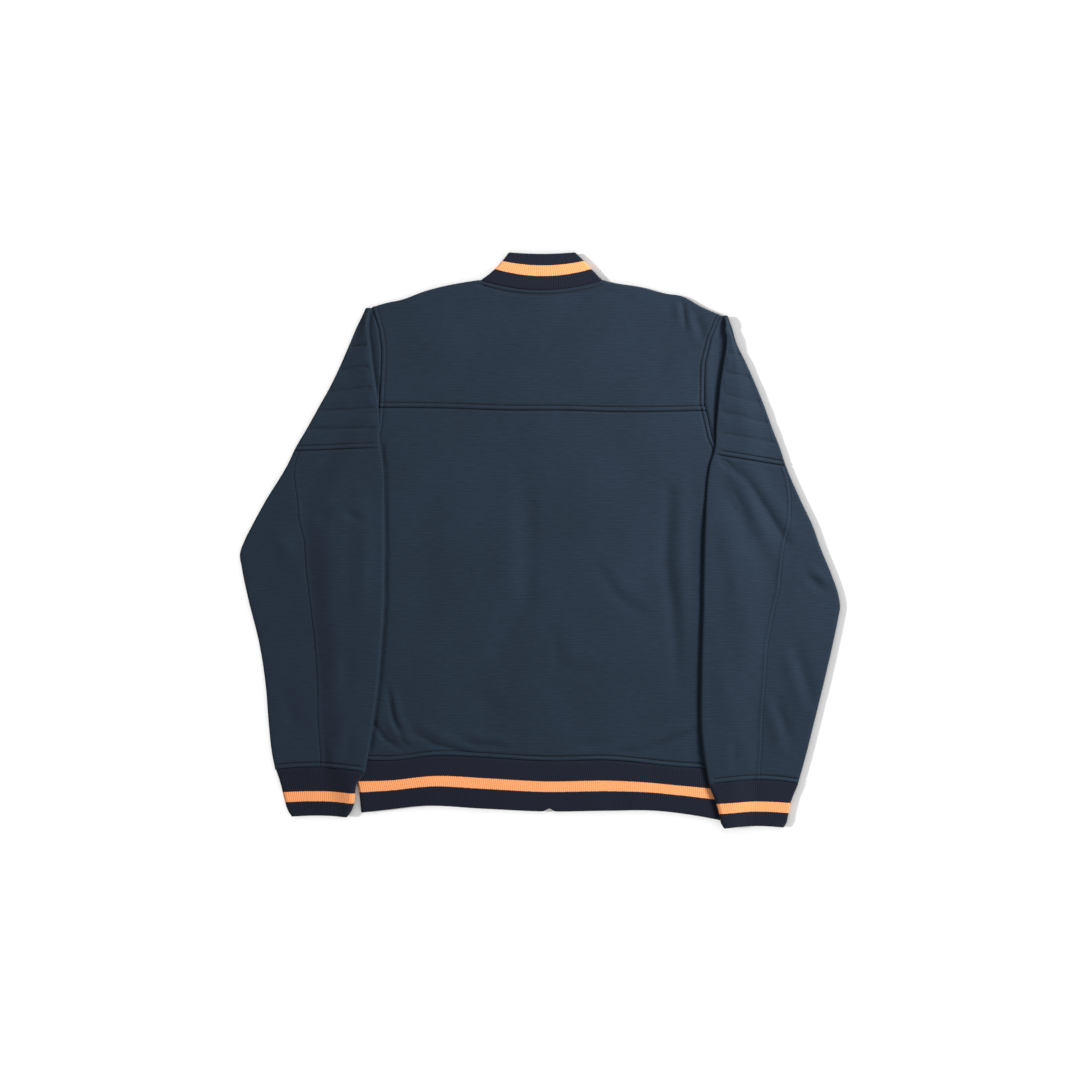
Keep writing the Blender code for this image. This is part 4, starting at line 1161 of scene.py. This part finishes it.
def stitch_lines():
    """Paths of all the topstitching that shows, by seam."""
    lines = []
    for seam, low, high in ((YOKE_SEAM, -205, 205), (HEM_SEAM, -222, 218)):
        across = np.linspace(low, high, 60)
        lines.append(list(zip(across, smooth_value(seam, "y", across) + TOPSTITCH)))
    across = np.linspace(-70, 74, 30)
    lines.append(list(zip(across, collar_back(0, across) - TOPSTITCH)))
    for side, lowest in (("left", 182), ("right", 140)):
        heights = np.linspace(lowest, CAP_TOP_Y[side] - 6, 30)
        lines.append([(SIGN[side] * (body_edge(side, y) - TOPSTITCH), y) for y in heights])
        lines.append(across_sleeve(side, BAND[side], 2))
        lines.append(across_sleeve(side, WRIST[side], 3))
        lines.extend(QUILT[side])
    return lines


def size_property(name, description, size_mm):
    """Property for a small length, shown in the scene's units."""
    return bpy.props.FloatProperty(
        name=name, description=description, default=size_mm * MM, min=0, precision=5, unit="LENGTH")


def shade_property(name, description, code):
    """Property for a colour, with its sRGB hex default."""
    return bpy.props.FloatVectorProperty(
        name=name, description=description, default=colour(code), min=0, max=1, size=4, subtype="COLOR")


class JacketSettings(bpy.types.PropertyGroup):
    """Sizes and colours of the jacket's looks."""
    rib_line: size_property("Knit line pitch", "Distance between the cross lines of the knit", 3.97)
    rib: size_property("Rib pitch", "Distance between the ribs of the trims", 2.64)
    rib_depth: size_property("Rib depth", "Height of a rib of the trims over its valleys", 0.38)
    stitch: size_property("Stitch pitch", "Distance from stitch to stitch", 3.0)
    cloth_dark: shade_property("Cloth, dark yarn", "Darker shade of the body's knit", "#0D151D")
    cloth_light: shade_property("Cloth, light yarn", "Lighter shade of the body's knit", "#1B2735")
    # Trim colours in the rib valleys and on the rib tops: painted shade and painted light over the ribs
    rib_valley_painted_shade: shade_property("Rib, valleys", "Shade of the trims between their ribs", "#090B12")
    rib_top_painted_light: shade_property("Rib, tops", "Shade of the trims on their ribs", "#141825")
    # Stripe colours in the rib valleys and on the rib tops: painted shade and painted light over the ribs
    stripe_valley_painted_shade: shade_property("Stripe, valleys", "Shade of the stripes between the ribs", "#AE673A")
    stripe_top_painted_light: shade_property("Stripe, tops", "Shade of the stripes on the ribs", "#D0895A")


class JACKET_OT_body(bpy.types.Operator):
    """Back yoke, back body and the two fronts"""
    bl_idname = "jacket.body"
    bl_label = "Body"

    def execute(self, context):
        under = ["front_left", "front_right"]
        cloth_piece("back_body", back_body_grid(), (0.54, 0.46), 0.235, under, straight_knit=True)
        cloth_piece("back_yoke", yoke_grid(), (0.46, 0.17), 0.066, under, straight_knit=True)
        for name in under:
            grid = front_grid(name.removeprefix("front_"))
            cloth_piece(name, grid, (0.28, 0.63), 0.142, straight_knit=True)
        return {"FINISHED"}


class JACKET_OT_sleeves(bpy.types.Operator):
    """Quilted tops, backs and fronts of both sleeves"""
    bl_idname = "jacket.sleeves"
    bl_label = "Sleeves"

    def execute(self, context):
        for side, cap_area, cap_size in (("left", 0.0262, (0.24, 0.19)), ("right", 0.0318, (0.24, 0.2))):
            cap, inner, outer = make_sleeve(side)
            cloth_piece(f"sleeve_cap_{side}", cap, cap_size, cap_area, ["back_body"])
            cloth_piece(f"sleeve_back_{side}", inner, (0.2, 0.43), 0.07, ["back_body"])
            cloth_piece(f"sleeve_front_{side}", outer, (0.2, 0.42), 0.065)
        return {"FINISHED"}


def rib_piece(name, grid, material, flat, area, rests_on=(), closed=False):
    """Rib trim whose ribs stand up in the mesh, at the places that its map gives them."""
    ribbed = add_ribs(grid, settings().rib / MM, settings().rib_depth / MM)
    if closed:
        ribbed[:, -1] = ribbed[:, 0]
    cloth_piece(name, ribbed, flat, area, rests_on, RIB, material, "rib_knit",
                closed=closed, rib_places=rib_places(grid))


class JACKET_OT_ribs(bpy.types.Operator):
    """Rib cuffs, hem and collar with their stripes"""
    bl_idname = "jacket.ribs"
    bl_label = "Rib trims"

    def execute(self, context):
        hem_rib = rib_knit("hem_rib_knit", 24.5, 37.5)
        cuff_rib = rib_knit("cuff_rib_knit", 19.5, 32.5)
        collar_rib = rib_knit("collar_rib_knit", 18.5, 32.0)
        for side in ("left", "right"):
            rib_piece(f"cuff_{side}", make_cuff_grid(side), cuff_rib, (0.21, 0.062), 0.013, ["hem_rib"], True)
        rib_piece("hem_rib", hem_grid(), hem_rib, (0.96, 0.065), 0.06)
        rib_piece("collar_rib", collar_grid(), collar_rib, (0.36, 0.05), 0.015)
        return {"FINISHED"}


class JACKET_OT_stitching(bpy.types.Operator):
    """Topstitching and the cross stitching of the sleeve tops"""
    bl_idname = "jacket.stitching"
    bl_label = "Stitching"

    def execute(self, context):
        cloths = [piece for piece in context.scene.objects if piece.name.endswith("_cloth")]
        if not cloths:
            raise RuntimeError("the stitches need the cloth, which is made first")
        tree = surface_tree(cloths)
        shape = bmesh.new()
        for points in stitch_lines():
            add_stitches(shape, tree, points, settings().stitch / MM, STITCH_LENGTH, STITCH_THICKNESS)
        # The thread, darker than the cloth, paints the shade of the stitch grooves
        joined_piece("topstitching", shape, material_named("polyester_thread"))
        return {"FINISHED"}


def zip_z(y):
    """Height of the middle of the zip, just over the fronts and the ribs."""
    over_rib = max(1 - ease(y, -284, -262), ease(y, 234, 256))
    return CLOTH + SEAM + 0.25 + (RIB - CLOTH) * over_rib


def teeth_piece(side):
    """One row of zip teeth, each a small block that reaches past the middle between two others."""
    sign = SIGN[side]
    shape = bmesh.new()
    for y in np.arange(FIRST_TOOTH_Y[side], LAST_TOOTH_Y, TOOTH_PITCH):
        for vertex in bmesh.ops.create_cube(shape, size=1)["verts"]:
            across, half = TOOTH_TIP if vertex.co.x * sign < 0 else TOOTH_ROOT
            vertex.co = ((ZIP_X + sign * across) * MM, (y + 2 * half * vertex.co.y) * MM,
                         (zip_z(y) + TOOTH_HEIGHT * vertex.co.z) * MM)
    bmesh.ops.bevel(shape, geom=list(shape.edges), offset=TOOTH_CHAMFER * MM, segments=1, affect="EDGES")
    piece = joined_piece(f"zip_teeth_{side}_detail", shape, material_named("bright_nickel"))
    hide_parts(f"zip_teeth_{side}")


class JACKET_OT_zip(bpy.types.Operator):
    """Zip tapes, teeth, slider and pull tab"""
    bl_idname = "jacket.zip"
    bl_label = "Zip"

    def execute(self, context):
        for side in ("left", "right"):
            teeth_piece(side)
        for name in ("zip_tape_left", "zip_tape_right", "zip_slider", "zip_box", "zip_pull_tab"):
            if name not in frame["nodes"]:
                raise RuntimeError(f"the frame has no {name}")
            materials = frame["nodes"][name].data.materials
            materials.clear()
            materials.append(material_named("woven_tape" if "tape" in name else "bright_nickel"))
        return {"FINISHED"}


def add_light(scene, name, kind, place, energy):
    """Light of a kind at a place, turned towards the jacket."""
    light = bpy.data.lights.new(name, kind)
    light.energy = energy
    lamp = bpy.data.objects.new(name, light)
    scene.collection.objects.link(lamp)
    lamp.location = place
    lamp.rotation_euler = (-Vector(place)).to_track_quat("-Z", "Y").to_euler()
    return lamp


class JACKET_OT_stage(bpy.types.Operator):
    """Pale floor, soft studio light and the camera straight above"""
    bl_idname = "jacket.stage"
    bl_label = "Stage"

    def execute(self, context):
        scene = context.scene
        bpy.ops.mesh.primitive_plane_add(size=60, location=(0, 0, -0.0004))
        floor = context.object
        floor.name = "floor"
        floor.data.materials.append(material_named("white_paper_floor"))
        world = bpy.data.worlds.new("studio")
        scene.world = world
        world.use_nodes = True
        background = world.node_tree.nodes["Background"].inputs
        background[0].default_value, background[1].default_value = (1, 1, 1, 1), 0.78
        # The key light leaves out the floor, and the low one gives only the floor its pale shadow
        key = add_light(scene, "key", "AREA", (1.2, 0.7, 1.08), 70)
        key.data.size = 0.56
        side = add_light(scene, "side", "SUN", (-1.0, 0.06, 0.56), 2.4)
        side.data.angle = radians(4)
        for lamp, state in ((key, "EXCLUDE"), (side, "INCLUDE")):
            linked = bpy.data.collections.new(f"floor_for_{lamp.name}")
            linked.objects.link(floor)
            lamp.light_linking.receiver_collection = linked
            linked.collection_objects[0].light_linking.link_state = state
        camera = bpy.data.cameras.new("camera")
        camera.lens, camera.sensor_width = 50, 36
        viewer = bpy.data.objects.new("camera", camera)
        scene.collection.objects.link(viewer)
        viewer.location = (0, 0, FRAME_WIDTH * camera.lens / camera.sensor_width)
        scene.camera = viewer
        scene.view_settings.view_transform = "Standard"
        return {"FINISHED"}


class JACKET_PT_panel(bpy.types.Panel):
    """Settings and pieces of the jacket"""
    bl_label = "Bomber jacket"
    bl_idname = "JACKET_PT_panel"
    bl_space_type = "VIEW_3D"
    bl_region_type = "UI"
    bl_category = "Jacket"

    def draw(self, context):
        for name in JacketSettings.__annotations__:
            self.layout.prop(context.scene.jacket, name)
        for operator in STEPS:
            self.layout.operator(operator.bl_idname)


STEPS = (JACKET_OT_stage, JACKET_OT_body, JACKET_OT_sleeves, JACKET_OT_ribs, JACKET_OT_stitching,
         JACKET_OT_zip)
CLASSES = (JacketSettings, *STEPS, JACKET_PT_panel)


def register():
    """Adds the classes and the scene's settings."""
    for item in CLASSES:
        bpy.utils.register_class(item)
    bpy.types.Scene.jacket = bpy.props.PointerProperty(type=JacketSettings)


def unregister():
    """Removes them again."""
    del bpy.types.Scene.jacket
    for item in reversed(CLASSES):
        bpy.utils.unregister_class(item)


def main():
    """Builds every piece in order."""
    register()
    bpy.ops.jacket.stage()
    bpy.ops.jacket.body()
    bpy.ops.jacket.sleeves()
    bpy.ops.jacket.ribs()
    bpy.ops.jacket.stitching()
    bpy.ops.jacket.zip()


if __name__ == "__main__":
    main()
